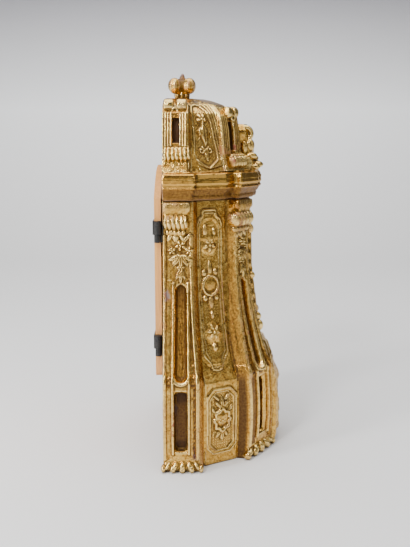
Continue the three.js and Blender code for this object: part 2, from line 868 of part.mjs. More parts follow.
/** The moving half: a barrel that drops over the pin, and a leaf on the door's back. */
function buildHingeBarrel(foot) {
  const barrelFoot = foot + knuckleLength + hingePlay;
  const length = hingeLength - knuckleLength - hingePlay;
  const top = barrelFoot + length;
  const leafIn = doorBack + fitGap;
  const leaf = boxBetween([-axisAside, -axisAside + barrelRadius + leafWidth],
    [leafIn, leafIn + leafThickness], [barrelFoot, top]);
  const barrel = join([upright(barrelRadius, barrelFoot, length, 16), leaf]);
  return cut(barrel, [upright(pinRadius + pinPlay, barrelFoot - length / 4, length, 12)]);
}

function buildGlass() {
  return solidOf(windowCutter(glassLap, glassInner + fitGap, glassInner + fitGap + glassThickness));
}

const reliquary = new THREE.Group();
reliquary.position.y = middle;
reliquary.add(
  meshOf('case', buildCase(), gold),
  meshOf('crown', buildCrown(), gold),
  meshOf('back_door', buildDoor(), paleWood),
  meshOf('upper_hinge_pin', buildHingePin(upperHingeFoot), iron),
  meshOf('upper_hinge_barrel', buildHingeBarrel(upperHingeFoot), iron),
  meshOf('lower_hinge_pin', buildHingePin(lowerHingeFoot), iron),
  meshOf('lower_hinge_barrel', buildHingeBarrel(lowerHingeFoot), iron),
  meshOf('window_glass', buildGlass(), clear),
);

export default reliquary;
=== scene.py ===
# %% [markdown]
# Gilded half-domed reliquary
#
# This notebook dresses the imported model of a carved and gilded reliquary. The model fixes every size and
# every moving part; here each face gets its carving as real mesh, and each surface its finish. Lengths
# are written in millimetres and turned into metres where a mesh is made, because carvers think in
# millimetres.

# %% Load the fixed frame
import math
from functools import reduce

import bpy
import numpy as np
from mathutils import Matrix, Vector


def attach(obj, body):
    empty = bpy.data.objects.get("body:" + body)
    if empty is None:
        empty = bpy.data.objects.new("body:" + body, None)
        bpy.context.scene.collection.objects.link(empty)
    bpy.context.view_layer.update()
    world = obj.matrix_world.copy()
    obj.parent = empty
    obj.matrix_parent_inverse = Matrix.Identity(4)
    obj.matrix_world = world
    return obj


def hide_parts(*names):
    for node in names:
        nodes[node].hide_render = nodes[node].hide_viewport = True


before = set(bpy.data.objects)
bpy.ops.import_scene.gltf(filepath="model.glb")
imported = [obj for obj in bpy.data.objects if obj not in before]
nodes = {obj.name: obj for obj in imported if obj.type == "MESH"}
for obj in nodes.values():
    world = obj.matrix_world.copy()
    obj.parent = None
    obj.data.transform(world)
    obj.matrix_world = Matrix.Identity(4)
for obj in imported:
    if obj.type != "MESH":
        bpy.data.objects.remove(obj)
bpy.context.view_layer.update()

# %% [markdown]
# The camera
#
# The picture was taken from the reliquary's proper right, a little above it. The horizon of the picture,
# the slope of the foot's edges on the table and the flat back give the pitch, the height and the
# distance. The camera is made first, because everything else is judged through it.

# %% Camera
MM = 0.001
PICTURE_HEIGHT = 547
FOCAL_PIXELS = 750
CAMERA_HEIGHT = 330
CAMERA_DISTANCE = 808
CAMERA_ASIDE = 14.8
PITCH = math.radians(10.24)
SENSOR = 36.0


def placed(name, data):
    """A new object in the scene, for a mesh, a light or the camera."""
    thing = bpy.data.objects.new(name, data)
    bpy.context.scene.collection.objects.link(thing)
    return thing


camera_data = bpy.data.cameras.new("camera")
camera_data.sensor_width = SENSOR
camera_data.lens = FOCAL_PIXELS / PICTURE_HEIGHT * SENSOR
camera_data.dof.use_dof = False
camera = placed("camera", camera_data)
camera.location = (-CAMERA_DISTANCE * MM, CAMERA_ASIDE * MM, CAMERA_HEIGHT * MM)
camera.rotation_euler = (math.pi / 2 - PITCH, 0, -math.pi / 2)
bpy.context.scene.camera = camera
print("lens", round(camera_data.lens, 2), "mm")

# %% [markdown]
# The outlines of the real thing
#
# Every face of the case is upright in plan but hollow in profile: narrow at the waist, flaring to a knee
# above the pedestal. The same few curves shape the solid model, so they are written again here as
# functions of height. A place on a face is a turn round the plan, a reach out from the finial's upright
# line, a distance along the face and a height.

# %% Profiles
FOOT, KNEE, SILL, WAIST = 12.0, 93.0, 122.0, 220.0
CASE_TOP, CORNICE_TOP, CREST = 269.5, 296.5, 370.5
BACK = 18.0
FRONT_REACH, DOOR_REACH = 105.0, 27.4
MIDDLE = (FRONT_REACH - DOOR_REACH) / 2
PANEL_TURN, CORNER_TURN = 30.0, 56.0
REAR_REACH, CORNER_REACH, PANEL_REACH, BAY_REACH = 102.0, 96.0, 89.0, 92.0
PIER_DRAW, PANEL_DRAW, BAY_DRAW = 24.5, 20.0, 22.0
PANEL_LEDGE = 13.0
PANEL_SHIFT = -5.0
SET_BACK = 5.0
BELLY = 3.0
FLARE_POWER, SHOULDER_POWER = 1.8, 3.3


def clamp(value, low=0.0, high=1.0):
    return np.minimum(np.maximum(value, low), high)


def smooth(edge0, edge1, value):
    share = clamp((value - edge0) / (edge1 - edge0))
    return share * share * (3 - 2 * share)


def flare(z):
    return clamp((WAIST - z) / (WAIST - KNEE)) ** FLARE_POWER


def swell(z):
    return BELLY * np.sin(np.pi * clamp(z / KNEE))


def pier_reach(reach, z):
    return reach - PIER_DRAW * (1 - flare(z)) + swell(z)


def panel_reach(z):
    ledge = smooth(KNEE - PANEL_LEDGE / 2, KNEE + PANEL_LEDGE / 2, z)
    upper = PANEL_REACH - SET_BACK - PANEL_DRAW * (1 - flare(z))
    return (PANEL_REACH + swell(z) / 2) * (1 - ledge) + upper * ledge


def bay_reach(z):
    return BAY_REACH - BAY_DRAW * (1 - flare(z))


def apron_reach(z):
    shoulder = clamp((z - FOOT) / (SILL - FOOT)) ** SHOULDER_POWER
    tuck = clamp(1 - z / FOOT) ** 2
    return FRONT_REACH - (FRONT_REACH - bay_reach(SILL)) * shoulder - SET_BACK * tuck


def face_axes(turn):
    """The outward and the sideways direction, in plan, of a face on the proper right."""
    angle = math.radians(turn)
    return (-math.cos(angle), -math.sin(angle)), (math.sin(angle), -math.cos(angle))


def place(turn, reach, along, z):
    """Metres in the row frame for millimetres on a face of the proper right side."""
    out, side = face_axes(turn)
    x = out[0] * reach + side[0] * along
    y = out[1] * reach + side[1] * along
    return np.stack([x * MM, (y + MIDDLE) * MM, z * MM + 0 * x], axis=-1)


print("reach at the waist", round(float(pier_reach(REAR_REACH, WAIST)), 1))

# %% [markdown]
# Turning arrays into pieces
#
# Carving is drawn as a height over a face: an array of along and height, and how far the wood stands out
# at each. That array becomes a sheet, and the sheet gets a back and edges so that it is a closed body. A
# piece on the proper right is mirrored for the proper left, with its faces turned round. Each mesh also
# keeps numbers for its finish: "form" says how deep a corner lies among its neighbours, "loss" where the
# gilding is gone, and "hollow" how much painted shade, painted warm reflection or dirt a place gets.

# %% Mesh helpers
BODY = "reliquary_body"
FORM_SIZE = 1.9
LOSSES = (
    (-90.0, 48.0, 107.0, 4.5), (-98.0, 46.0, 64.0, 4.0), (-64.0, -78.0, 24.0, 5.0),
    (-97.0, 20.0, 128.0, 3.5), (-82.0, 52.0, 176.0, 3.5), (-101.0, 24.0, 18.0, 4.0),
    (-60.0, -20.0, 104.0, 3.0), (88.0, 30.0, 150.0, 5.0), (70.0, -50.0, 60.0, 6.0),
    (0.0, 38.8, 396.0, 5.0), (20.0, -60.0, 96.0, 5.0))


def mesh_array(items, field, width, kind=float):
    values = np.empty(len(items) * width, dtype=kind)
    items.foreach_get(field, values)
    return values.reshape(-1, width)


def move_corners(mesh, verts):
    mesh.vertices.foreach_set("co", verts.ravel())
    mesh.update()


def store(mesh, name, values):
    """Keeps one number for each corner, which a finish reads by its name."""
    layer = mesh.attributes.new(name, "FLOAT", "POINT")
    layer.data.foreach_set("value", np.asarray(values, dtype=np.float32).ravel())


def neighbour_mean(values, edges):
    """What the neighbours of each corner, along the mesh's edges, measure on average."""
    one, other = edges.T
    total = [np.bincount(one, values[other, axis], len(values))
             + np.bincount(other, values[one, axis], len(values)) for axis in range(values.shape[1])]
    count = np.maximum(np.bincount(edges.ravel(), minlength=len(values)), 1)
    return np.stack(total, axis=1) / count[:, None]


def waves(points, seed, size, octaves=3):
    """A smooth seeded wander between -1 and 1 over points in millimetres."""
    source = np.random.default_rng(seed)
    total = np.zeros(len(points))
    weight = 0.0
    for octave in range(octaves):
        share = 0.6 ** octave
        for _ in range(4):
            direction = source.normal(size=3)
            direction *= 2 ** octave / size / np.linalg.norm(direction)
            total += share * np.sin(2 * math.pi * (points @ direction) + source.uniform(0, 6.28)) / 2
        weight += share
    return total / weight


def mark_form(mesh):
    """Stores how far each corner lies below (+) or above (-) its surroundings, in millimetres."""
    verts = mesh_array(mesh.vertices, "co", 3) / MM
    edges = mesh_array(mesh.edges, "vertices", 2, int)
    spacing = float(np.median(np.linalg.norm(verts[edges[:, 0]] - verts[edges[:, 1]], axis=1)))
    calm = verts
    for _ in range(int(clamp(round((FORM_SIZE / spacing) ** 2), 2, 14))):
        calm = 0.4 * calm + 0.6 * neighbour_mean(calm, edges)
    depth = ((calm - verts) * mesh_array(mesh.vertices, "normal", 3)).sum(axis=1)[:, None]
    for _ in range(2 if spacing > 1 else 0):
        depth = neighbour_mean(depth, edges)
    store(mesh, "form", depth)


def mark_losses(mesh):
    """Stores 1 where gilding is lost, in ragged patches round each place in LOSSES (its radius comes last)."""
    verts = mesh_array(mesh.vertices, "co", 3) / MM
    lost = np.zeros(len(verts))
    ragged = 0.35 * waves(verts, 11, 5.0)
    for x, y, z, radius in LOSSES:
        distance = np.linalg.norm((verts - (x, y, z)) / (1, 1, 1.7), axis=1) / radius
        lost = np.maximum(lost, smooth(1.15, 0.75, distance + ragged))
    store(mesh, "loss", lost)


# %% Closed bodies from arrays
def new_piece(name, verts, faces, hollow=None, body=BODY, slot="gilding"):
    mesh = bpy.data.meshes.new(name)
    mesh.from_pydata([tuple(v) for v in np.asarray(verts, dtype=float)], [], [tuple(f) for f in faces])
    mesh.validate()
    mesh.shade_smooth()
    mark_form(mesh)
    mark_losses(mesh)
    if hollow is not None:
        store(mesh, "hollow", hollow)
    piece = placed(name, mesh)
    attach(piece, body)
    return piece


def outward(verts, faces):
    """The faces of a closed body, turned round where they would face inward."""
    verts = np.asarray(verts, dtype=float)
    middle = verts.mean(axis=0)
    corners = np.array([face[:3] for face in faces if len(face) < 5])
    a, b, c = (verts[corners[:, index]] - middle for index in range(3))
    inside_out = float(np.einsum("ij,ij->i", a, np.cross(b, c)).sum()) < 0
    return [tuple(reversed(face)) for face in faces] if inside_out else faces


def mirror_arrays(verts, faces, *shade):
    flipped = np.array(verts, dtype=float)
    flipped[:, 0] *= -1
    return flipped, [tuple(reversed(face)) for face in faces], *shade


def both_sides(name, arrays):
    right = new_piece(name + "_right", *arrays)
    left = new_piece(name + "_left", *mirror_arrays(*arrays))
    print(name, len(arrays[1]), "faces each")
    return [right, left]


def grid_faces(rows, columns, closed_rows=False, closed_columns=False):
    faces = []
    for row in range(rows if closed_rows else rows - 1):
        above = (row + 1) % rows
        for column in range(columns if closed_columns else columns - 1):
            after = (column + 1) % columns
            faces.append((row * columns + column, row * columns + after,
                          above * columns + after, above * columns + column))
    return faces


def sheet_body(front, back):
    """A closed body between two grids of points with the same rows and columns."""
    rows, columns = front.shape[:2]
    count = rows * columns
    faces = grid_faces(rows, columns)
    faces += [tuple(count + corner for corner in reversed(face)) for face in faces]
    rim = [(0, c) for c in range(columns)]
    rim += [(r, columns - 1) for r in range(1, rows)]
    rim += [(rows - 1, c) for c in range(columns - 2, -1, -1)]
    rim += [(r, 0) for r in range(rows - 2, 0, -1)]
    ring = [r * columns + c for r, c in rim]
    for corner, after in zip(ring, ring[1:] + ring[:1]):
        faces.append((after, corner, count + corner, count + after))
    verts = np.concatenate([front.reshape(-1, 3), back.reshape(-1, 3)])
    return verts, outward(verts, faces)


def face_sheet(turn, reach_at, relief, along_range, height_range, step, depth=1.6):
    """The arrays of a carved face: reach_at(z) carries it and relief(along, z) stands on it."""
    columns = int(round((along_range[1] - along_range[0]) / step)) + 1
    rows = int(round((height_range[1] - height_range[0]) / step)) + 1
    along, z = np.meshgrid(np.linspace(*along_range, columns), np.linspace(*height_range, rows))
    out = relief(along, z)
    base = reach_at(z)
    front = place(turn, base + out, along, z)
    back = place(turn, base + np.minimum(out, 0) - depth, along, z)
    return sheet_body(front, back)


# %% [markdown]
# Carver's marks as functions
#
# A ridge is a half-round bar, a path is a chain of short ridges, and a flower is a ring of petals round a
# boss. Each is a function of along and height, so that marks can be added or the higher of two be taken.

# %% Relief marks
def highest(*marks):
    """The highest mark at each place, because carved forms run into each other."""
    return reduce(np.maximum, marks)


def dome_mark(distance, radius, power=0.5):
    """1 in the middle of a mark, falling in a rounded profile to 0 at its radius."""
    return clamp(1 - (distance / radius) ** 2) ** power


def path_distance(along, z, points):
    best = np.full(along.shape, 1e6)
    for (a0, z0), (a1, z1) in zip(points, points[1:]):
        run = np.array([a1 - a0, z1 - z0])
        length = float(run @ run) or 1e-9
        share = clamp(((along - a0) * run[0] + (z - z0) * run[1]) / length)
        best = np.minimum(best, np.hypot(along - a0 - share * run[0], z - z0 - share * run[1]))
    return best


def ridge(along, z, points, width, rise):
    return rise * dome_mark(path_distance(along, z, points), width / 2)


def flower_mark(along, z, centre, radius, petals, rise, turn=0.0):
    da, dz = along - centre[0], z - centre[1]
    distance = np.hypot(da, dz) / radius
    angle = np.arctan2(dz, da) + turn
    petal = 0.5 + 0.5 * np.cos(angle * petals)
    edge = 0.78 + 0.22 * petal
    body = dome_mark(distance / edge, 1.0, 0.6) * (0.35 + 0.65 * petal ** 0.6)
    hollow = 0.55 * dome_mark(distance, 0.42, 1.0)
    boss = 0.95 * dome_mark(distance, 0.24, 0.5)
    return rise * np.maximum(body - hollow, boss)


def leaf_mark(along, z, root, tip, width, rise):
    run = np.array([tip[0] - root[0], tip[1] - root[1]], dtype=float)
    length = float(np.hypot(*run))
    run /= length
    forward = ((along - root[0]) * run[0] + (z - root[1]) * run[1]) / length
    aside = (along - root[0]) * run[1] - (z - root[1]) * run[0]
    half = width / 2 * np.sin(np.pi * clamp(forward) ** 0.8) + 1e-6
    inside = (forward > 0) & (forward < 1)
    vein = 1 - 0.35 * dome_mark(aside, width * 0.12, 1.0)
    return np.where(inside, rise * dome_mark(aside / half, 1.0, 0.5) * vein, 0.0)


def blob_mark(along, z, centre, sizes, rise):
    return rise * dome_mark(np.hypot((along - centre[0]) / sizes[0], (z - centre[1]) / sizes[1]), 1.0)


def scroll_points(centre, radius, start, turns, count=22, tighten=0.75):
    points = []
    for index in range(count + 1):
        share = index / count
        angle = start + turns * 2 * math.pi * share
        size = radius * (1 - tighten * share)
        points.append((centre[0] + size * math.cos(angle), centre[1] + size * math.sin(angle)))
    return points


def lattice_mark(along, z, pitch, width, rise):
    first = np.abs((along + z) % pitch - pitch / 2)
    second = np.abs((along - z) % pitch - pitch / 2)
    return rise * dome_mark(np.minimum(first, second), width / 2)


# %% [markdown]
# The carved case
#
# The whole case is one carved work, so its solid is remade as an even skin of small faces, softened as
# gesso softens cut edges, and then given the low undulation of hand work. Its hollow inside and its flat
# back stay bare wood, which an attribute on the mesh tells the finish.

# %% An even, softened skin
def even_mesh(node, voxel, soft_steps):
    source = placed("source", nodes[node].data.copy())
    change = source.modifiers.new("even", "REMESH")
    change.mode = "VOXEL"
    change.voxel_size = voxel * MM
    whole = source.evaluated_get(bpy.context.evaluated_depsgraph_get())
    mesh = bpy.data.meshes.new_from_object(whole)
    bpy.data.objects.remove(source)
    verts = mesh_array(mesh.vertices, "co", 3)
    edges = mesh_array(mesh.edges, "vertices", 2, int)
    for _ in range(soft_steps):
        verts = verts * 0.45 + 0.55 * neighbour_mean(verts, edges)
    move_corners(mesh, verts)
    return mesh


# %% Pushing carving out of a skin
def face_places(mesh):
    """Corner places in millimetres from the finial's line, the normals, and -1 on the proper left side."""
    local = mesh_array(mesh.vertices, "co", 3) / MM
    local[:, 1] -= MIDDLE
    return local, mesh_array(mesh.vertices, "normal", 3), np.where(local[:, 0] > 0, -1.0, 1.0)


def push_faces(mesh, marks, undulation=0.18, seed=3):
    """marks: turn, reach_at, relief, a test of along and height, and how near the face a corner must be."""
    local, normals, sign = face_places(mesh)
    x, y, z = local[:, 0] * sign, local[:, 1], local[:, 2]
    move = normals * (undulation * waves(local, seed, 16.0))[:, None]
    for turn, reach_at, relief, covers, near in marks:
        out, side = face_axes(turn)
        distance = x * out[0] + y * out[1]
        along = x * side[0] + y * side[1]
        facing = normals[:, 0] * sign * out[0] + normals[:, 1] * out[1]
        chosen = (np.abs(distance - reach_at(z)) < near) & (facing > 0.35) & covers(along, z)
        lift = np.where(chosen, relief(along, z), 0.0)
        move[:, 0] += lift * out[0] * sign
        move[:, 1] += lift * out[1]
    flat_back = np.abs(local[:, 1] - BACK) < 0.6
    floor = local[:, 2] < 0.8
    move[flat_back | floor] = 0
    move_corners(mesh, mesh_array(mesh.vertices, "co", 3) + move * MM)
    return local


def skin_piece(name, mesh, node):
    mesh.name = name
    mesh.shade_smooth()
    mark_form(mesh)
    mark_losses(mesh)
    piece = placed(name, mesh)
    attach(piece, BODY)
    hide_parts(node)
    print(name, len(mesh.polygons), "faces")
    return piece


# %% [markdown]
# The apron and the window border
#
# The front hides at the right edge of the picture, so its carving is taken from the sides' own: a shell
# on a lattice inside a scrolled border, and a row of leaves up each side of the window. It is low, so it
# is pushed out of the case's skin instead of being laid on it.

# %% Carving on the case's skin
def shell_mark(a, z, centre, radius, ribs, rise):
    da, dz = a - centre[0], z - centre[1]
    distance = np.hypot(da, dz) / radius
    angle = np.arctan2(dz, da)
    rib = 0.5 + 0.5 * np.cos(angle * ribs)
    upper = (angle > -0.35) | (angle < -math.pi + 0.35)
    body = dome_mark(distance, 1.0, 0.45) * (0.55 + 0.45 * rib) * upper
    return rise * highest(body, 1.2 * dome_mark(distance, 0.2))


def apron_relief(along, z):
    side = np.abs(along)
    border = [(0.0, 16.0), (22.0, 16.0), (26.0, 26.0), (26.0, 98.0), (18.0, 112.0), (0.0, 116.0)]
    marks = [0.7 * lattice_mark(along, z, 6.0, 1.7, 1.0) * (side < 25) * (z > 18) * (z < 112),
             shell_mark(along, z, (0, 70.0), 20.0, 14, 3.0),
             ridge(side, z, border, 3.4, 2.2)]
    for centre, start, turns in (((14.0, 38.0), 1.5, 1.1), ((14.0, 100.0), 4.2, -1.1)):
        marks.append(ridge(side, z, scroll_points(centre, 8.0, start, turns), 3.0, 2.4))
    return highest(*marks)


def window_relief(along, z):
    side = np.abs(along)
    leaves = [leaf_mark(side, z, (17.0, low), (23.0, low + 9.0), 5.0, 2.2) for low in range(128, 262, 11)]
    return highest(0 * side, shell_mark(along, z, (0, 252.0), 11.0, 10, 2.6), *leaves)


case_mesh = even_mesh("case", 1.9, 3)
case_places = push_faces(case_mesh, [
    (90.0, apron_reach, apron_relief, lambda a, z: (np.abs(a) < 29) & (z < 121), 5.0),
    (90.0, bay_reach, window_relief, lambda a, z: (np.abs(a) < 27) & (z > 124), 1.5),
])


# %% Bare wood and painted shade in the channels on the case
ROOM_MIDDLE = 15.0
ROOM_HALF_WIDTH, ROOM_HALF_DEPTH = 66.0, 58.0


def bare_case(p):
    """Ungilded wood: the back, the underside and the inside, whose faces look towards the middle."""
    normals = mesh_array(case_mesh.vertices, "normal", 3)
    x, y, z = p[:, 0], p[:, 1] + ROOM_MIDDLE, p[:, 2]
    inward = normals[:, 0] * x + normals[:, 1] * y < -0.3 * np.hypot(x, y)
    level = (np.abs(normals[:, 2]) > 0.7) & (np.hypot(x / ROOM_HALF_WIDTH, y / ROOM_HALF_DEPTH) < 1)
    inside = (inward | level) & (z > KNEE + 2) & (z < CASE_TOP - 1.5)
    return (p[:, 1] > BACK - 0.9) | (z < 0.9) | inside


def channel_shade(p):
    """The channel between a side panel and the corner pier: painted warm reflection above, painted shade in
    the pedestal.
    """
    turns = [math.radians(turn) for turn in (PANEL_TURN, CORNER_TURN)]
    panel_along, pier_along = (-np.abs(p[:, 0]) * math.sin(turn) - p[:, 1] * math.cos(turn) for turn in turns)
    inside = smooth(15.0, 18.0, panel_along) * smooth(-6.0, -9.0, pier_along) * (p[:, 1] < BACK - 2)
    return inside * (0.45 + 0.35 * smooth(KNEE + 4, KNEE - 8, p[:, 2]))


store(case_mesh, "bare", bare_case(case_places))
store(case_mesh, "hollow", channel_shade(case_places))
carved_case = skin_piece("carved_case", case_mesh, "case")

# %% [markdown]
# The side panels
#
# Each side has one tall panel between the piers: a thin doubled frame with a necked head and an ogee
# foot, two flowers and a ringed medallion between petals and drops on a pounced ground, then a bright
# sloped ledge and a lower eight-sided panel with one large flower in a wavy ring. It is one sheet,
# because on the real case it is one board, and a sheet of small faces can carry carving that a carver
# cuts from the front.

# %% Side panels
PANEL_HALF = 14.0
PANEL_HEAD = 259.0
PANEL_FOOT = 99.0
BASE_FLOWER = 47.5


def panel_frame_path(inset=0.0):
    half = PANEL_HALF - inset
    head, foot = PANEL_HEAD - inset, PANEL_FOOT + inset
    return [(0.0, foot - 1), (5.0, foot), (7.0 - inset * 0.3, foot + 6), (10.0 - inset * 0.6, foot + 10),
            (half, foot + 15), (half, 245.0), (half - 2.0, 250.0), (8.5 - inset * 0.5, 252.5),
            (7.5 - inset * 0.5, 256.0), (7.0 - inset * 0.5, head), (0.0, head)]


def base_frame_path(inset=0.0):
    low, high, half, chamfer = 12.0 + inset, 80.0 - inset, 17.0 - inset, 7.0
    return [(0.0, low), (half - chamfer, low), (half - 4, low + 3), (half, low + chamfer),
            (half, high - chamfer), (half - 4, high - 3), (half - chamfer, high), (0.0, high)]


def doubled_frame(side, z, path):
    """Two thin beads side by side, the outer one higher."""
    outer, inner = path_distance(side, z, path()), path_distance(side, z, path(2.9))
    return highest(1.5 * dome_mark(outer, 1.1), 1.1 * dome_mark(inner, 0.8))


def upper_panel_marks(a, z):
    side = np.abs(a)
    disc = np.hypot(a, (z - 183.0) / 1.1)
    marks = [doubled_frame(side, z, panel_frame_path),
             flower_mark(a, z, (0, 224.0), 8.4, 5, 4.4, 0.3),
             flower_mark(a, z, (0, 183.0), 4.6, 6, 3.0, 0.2),
             flower_mark(a, z, (0, 136.0), 9.0, 6, 4.4, 0.2),
             3.2 * dome_mark(disc - 8.8, 1.8),
             (0.4 + 0.12 * disc) * (disc < 8.0)]
    marks += [blob_mark(a, z, centre, sizes, rise) for centre, sizes, rise in (
        ((0, 224.0), (10.0, 10.5), 1.6), ((0, 136.0), (10.0, 10.5), 1.6),
        ((-5.0, 239.0), (3.2, 6.5), 2.6), ((5.2, 237.0), (2.6, 4.5), 2.2))]
    marks += [blob_mark(side, z, centre, sizes, 2.8) for centre, sizes in (
        ((0.0, 200.0), (3.0, 8.5)), ((6.5, 196.0), (3.2, 4.0)), ((0.0, 166.0), (3.2, 7.0)),
        ((6.5, 170.5), (3.0, 3.6)), ((0.0, 153.0), (2.2, 4.5)), ((0.0, 121.0), (3.4, 5.0)))]
    return highest(*marks)


def base_panel_marks(a, z):
    side = np.abs(a)
    up = z - BASE_FLOWER
    ring = np.hypot(a, up / 1.25) - 8.6 - 0.9 * np.cos(8 * np.arctan2(a, up))
    marks = [doubled_frame(side, z, base_frame_path),
             3.0 * dome_mark(ring, 2.2),
             flower_mark(a, z, (0, BASE_FLOWER), 6.6, 6, 3.6, 0.5),
             3.4 * dome_mark(np.hypot(a, up), 2.0)]
    marks += [leaf_mark(side, z, foot, tip, wide, 2.4) for foot, tip, wide in (
        ((0.0, 59.0), (0.0, 72.0), 5.0), ((1.5, 60.0), (7.5, 68.0), 4.0), ((3.0, 68.0), (10.5, 75.5), 3.6),
        ((9.0, 56.0), (12.5, 63.0), 3.4), ((0.0, 36.0), (0.0, 24.0), 5.0), ((2.0, 36.0), (7.0, 28.5), 3.8))]
    return highest(*marks)


def panel_relief(along, z):
    a = along - PANEL_SHIFT
    side = np.abs(a)
    marks = np.where(z > 90, upper_panel_marks(a, z), base_panel_marks(a, z))
    upper = (side < PANEL_HALF - 4.5) & (z > PANEL_FOOT + 16) & (z < PANEL_HEAD - 16)
    lower = (side < 12.5) & (z > 17.0) & (z < 75.0)
    ground = (upper | lower) & (marks < 0.25)
    pounced = 0.45 * lattice_mark(a, z, 2.7, 1.2, 1.0) - 0.5
    edge = -2.0 * smooth(PANEL_HALF + 4.5, PANEL_HALF + 8.0, side)
    return np.where(ground, pounced, marks) + 0.35 + edge


panel_arrays = face_sheet(PANEL_TURN, panel_reach, panel_relief, (-24.0, 16.5), (0.4, 268.8), 0.9)
side_panels = both_sides("carved_side_panel", panel_arrays)

# %% [markdown]
# The piers
#
# A pier is a long console that flares to the knee. Rails run along its edges and along the deep groove in
# its middle, with a punched valley between them; a lip closes the groove's foot at the knee, and an
# upright slot, painted dark as shade, is cut in the pedestal. Above the groove hangs a drop of shells and
# flowers. The rear pier is cut off by the flat back, and the corner pier stands turned towards the front.
# The relief function gives two arrays: how far the wood stands out, and how much painted shade, painted
# warm reflection, dirt or other darkening lies there, which only "hollow" can carry.

# %% Pier faces
SLOT_HALF = 6.2
SLOT_FOOT, SLOT_HEAD = 22.0, 83.5
RAIL = 1.9
GROOVE_TOP = 187.0
PIER_STEP = 0.95
PIER_HEIGHTS = (0.3, 268.9)


def rear_edges(z):
    return -BACK + 0.25 + 0 * z, 18.5 - 6.5 * (1 - flare(z))


def corner_edges(z):
    half = (42.0 - 18.0 * (1 - flare(z))) / 2
    return 3.0 - half - 2.5 * flare(z), 3.0 + half


def floral_drop(a, z, width):
    """The hanging drop on a pier, measured from its own middle."""
    side = np.abs(a)
    marks = [flower_mark(a, z, (0, 226.0), width * 0.5, 5, 4.2, 0.5),
             flower_mark(side, z, (width * 0.66, 221.0), width * 0.36, 5, 3.4, 1.0),
             flower_mark(side, z, (width * 0.45, 211.0), width * 0.36, 5, 3.4, 1.0),
             flower_mark(a, z, (0, 204.5), 4.4, 6, 3.2, 0.0),
             leaf_mark(side, z, (1.5, 229.0), (width * 0.8, 238.0), 4.4, 3.0),
             leaf_mark(side, z, (0.8, 202.0), (4.6, 192.0), 3.8, 2.8),
             leaf_mark(a, z, (0.0, 201.0), (0.0, 187.5), 4.4, 3.2)]
    for spread in (-1.2, -0.6, 0.0, 0.6, 1.2):
        tip = (width * math.sin(spread), 216.0 - 13.0 * math.cos(spread))
        marks.append(leaf_mark(a, z, (0.0, 217.0), tip, 5.0, 3.4))
    return highest(*marks)


def pier_relief(edges, centre, lean, slot_half, width, splay_after, splay_before, far_darkening=0.0):
    def relief(along, z):
        low, high = edges(z)
        a = along - centre - lean * smooth(KNEE + 8, KNEE - 8, z)
        side = np.abs(a)
        half = SLOT_HALF * (0.84 + 0.16 * flare(z))
        end = np.minimum(z - KNEE - 1, GROOVE_TOP - z)
        mouth = np.sqrt(clamp(half ** 2 - clamp(half - end, 0, half) ** 2, 0, 1e3)) * (end > 0)
        slot_edge = highest(side - slot_half, SLOT_FOOT - z, z - SLOT_HEAD)
        # What stands out: rails, the bump and the lip at the knee, and the drop.
        rim = np.minimum(np.abs(along - high + RAIL), np.abs(along - low - RAIL))
        inner = np.where(z > KNEE, half, slot_half) + RAIL
        rails = highest(2.1 * dome_mark(side - inner, 1.7) * (z > 19) * (z < GROOVE_TOP + 3),
                        1.9 * dome_mark(rim, RAIL) * (z > 13) * (z < 236))
        knee_bump = 1.6 * dome_mark(z - KNEE - 1.0, 7.0) * (side > half + 1)
        lip = np.abs(np.hypot(a, np.maximum(KNEE + half - z, 0)) - half - 1.4)
        lip_mark = 3.4 * dome_mark(lip, 2.2) * (z < KNEE + 6) * (side < half + 3.4)
        marks = highest(rails + knee_bump, floral_drop(a, z, width), lip_mark)
        # What is cut away: the punched valleys, the groove and the slot.
        valley = smooth(1.2, 2.4, side - inner) * smooth(1.4, 2.6, rim) * (z < GROOVE_TOP + 4) * (z > 14)
        valley = valley * (along > low) * (along < high)
        spots = np.stack([a.ravel(), 0 * a.ravel(), z.ravel()], axis=1)
        punched = 0.45 * waves(spots, 21, 3.0).reshape(a.shape)
        cuts = 1.1 * valley * (1 - punched) + 6.2 * smooth(0.0, 1.6, mouth - side)
        cuts = cuts + 7.2 * smooth(0.5, -0.9, slot_edge)
        after = splay_after * clamp((along - high) / 2.6) + 6.0 * clamp((along - high - 2.8) / 1.5)
        before = splay_before * (clamp((low - along) / 2.8) + clamp((low - along - 3.2) / 2))
        bands = (z > KNEE + 4) & (z < GROOVE_TOP + 6)
        grain = 0.10 * np.sin(a * 2.3 + np.sin(z * 0.21) * 2) * bands
        # What is painted dark or warm: painted shade in the groove and the slot, dirt and painted
        # shade in the valleys, a darker far edge, and a painted warm reflection on the returns.
        groove_shade = (0.64 + 0.2 * smooth(150.0, 184.0, z)) * smooth(-0.3, 1.4, mouth - side)
        slot_shade = 1.06 - 0.16 * smooth(24.0, 34.0, z) + 0.14 * smooth(66.0, 83.0, z)
        shade = groove_shade + slot_shade * smooth(0.9, 0.1, slot_edge)
        valley_shade = valley * (0.62 + 0.30 * (z < KNEE)) * clamp(0.95 - 1.1 * punched)
        # Darker towards the far edge of the pier below the knee.
        far_dark = far_darkening * smooth(8.0, 14.0, a) * smooth(KNEE + 30, KNEE, z)
        warm_reflection = 0.50 * clamp(after / 4) + (0.50 + 0.40 * smooth(KNEE + 10, KNEE - 10, z)) * clamp(before / 3)
        return marks + grain - cuts - after - before + 0.3, highest(shade, valley_shade, far_dark, warm_reflection)
    return relief


def edge_span(low, high):
    return lambda z: (low + 0 * z, high + 0 * z)


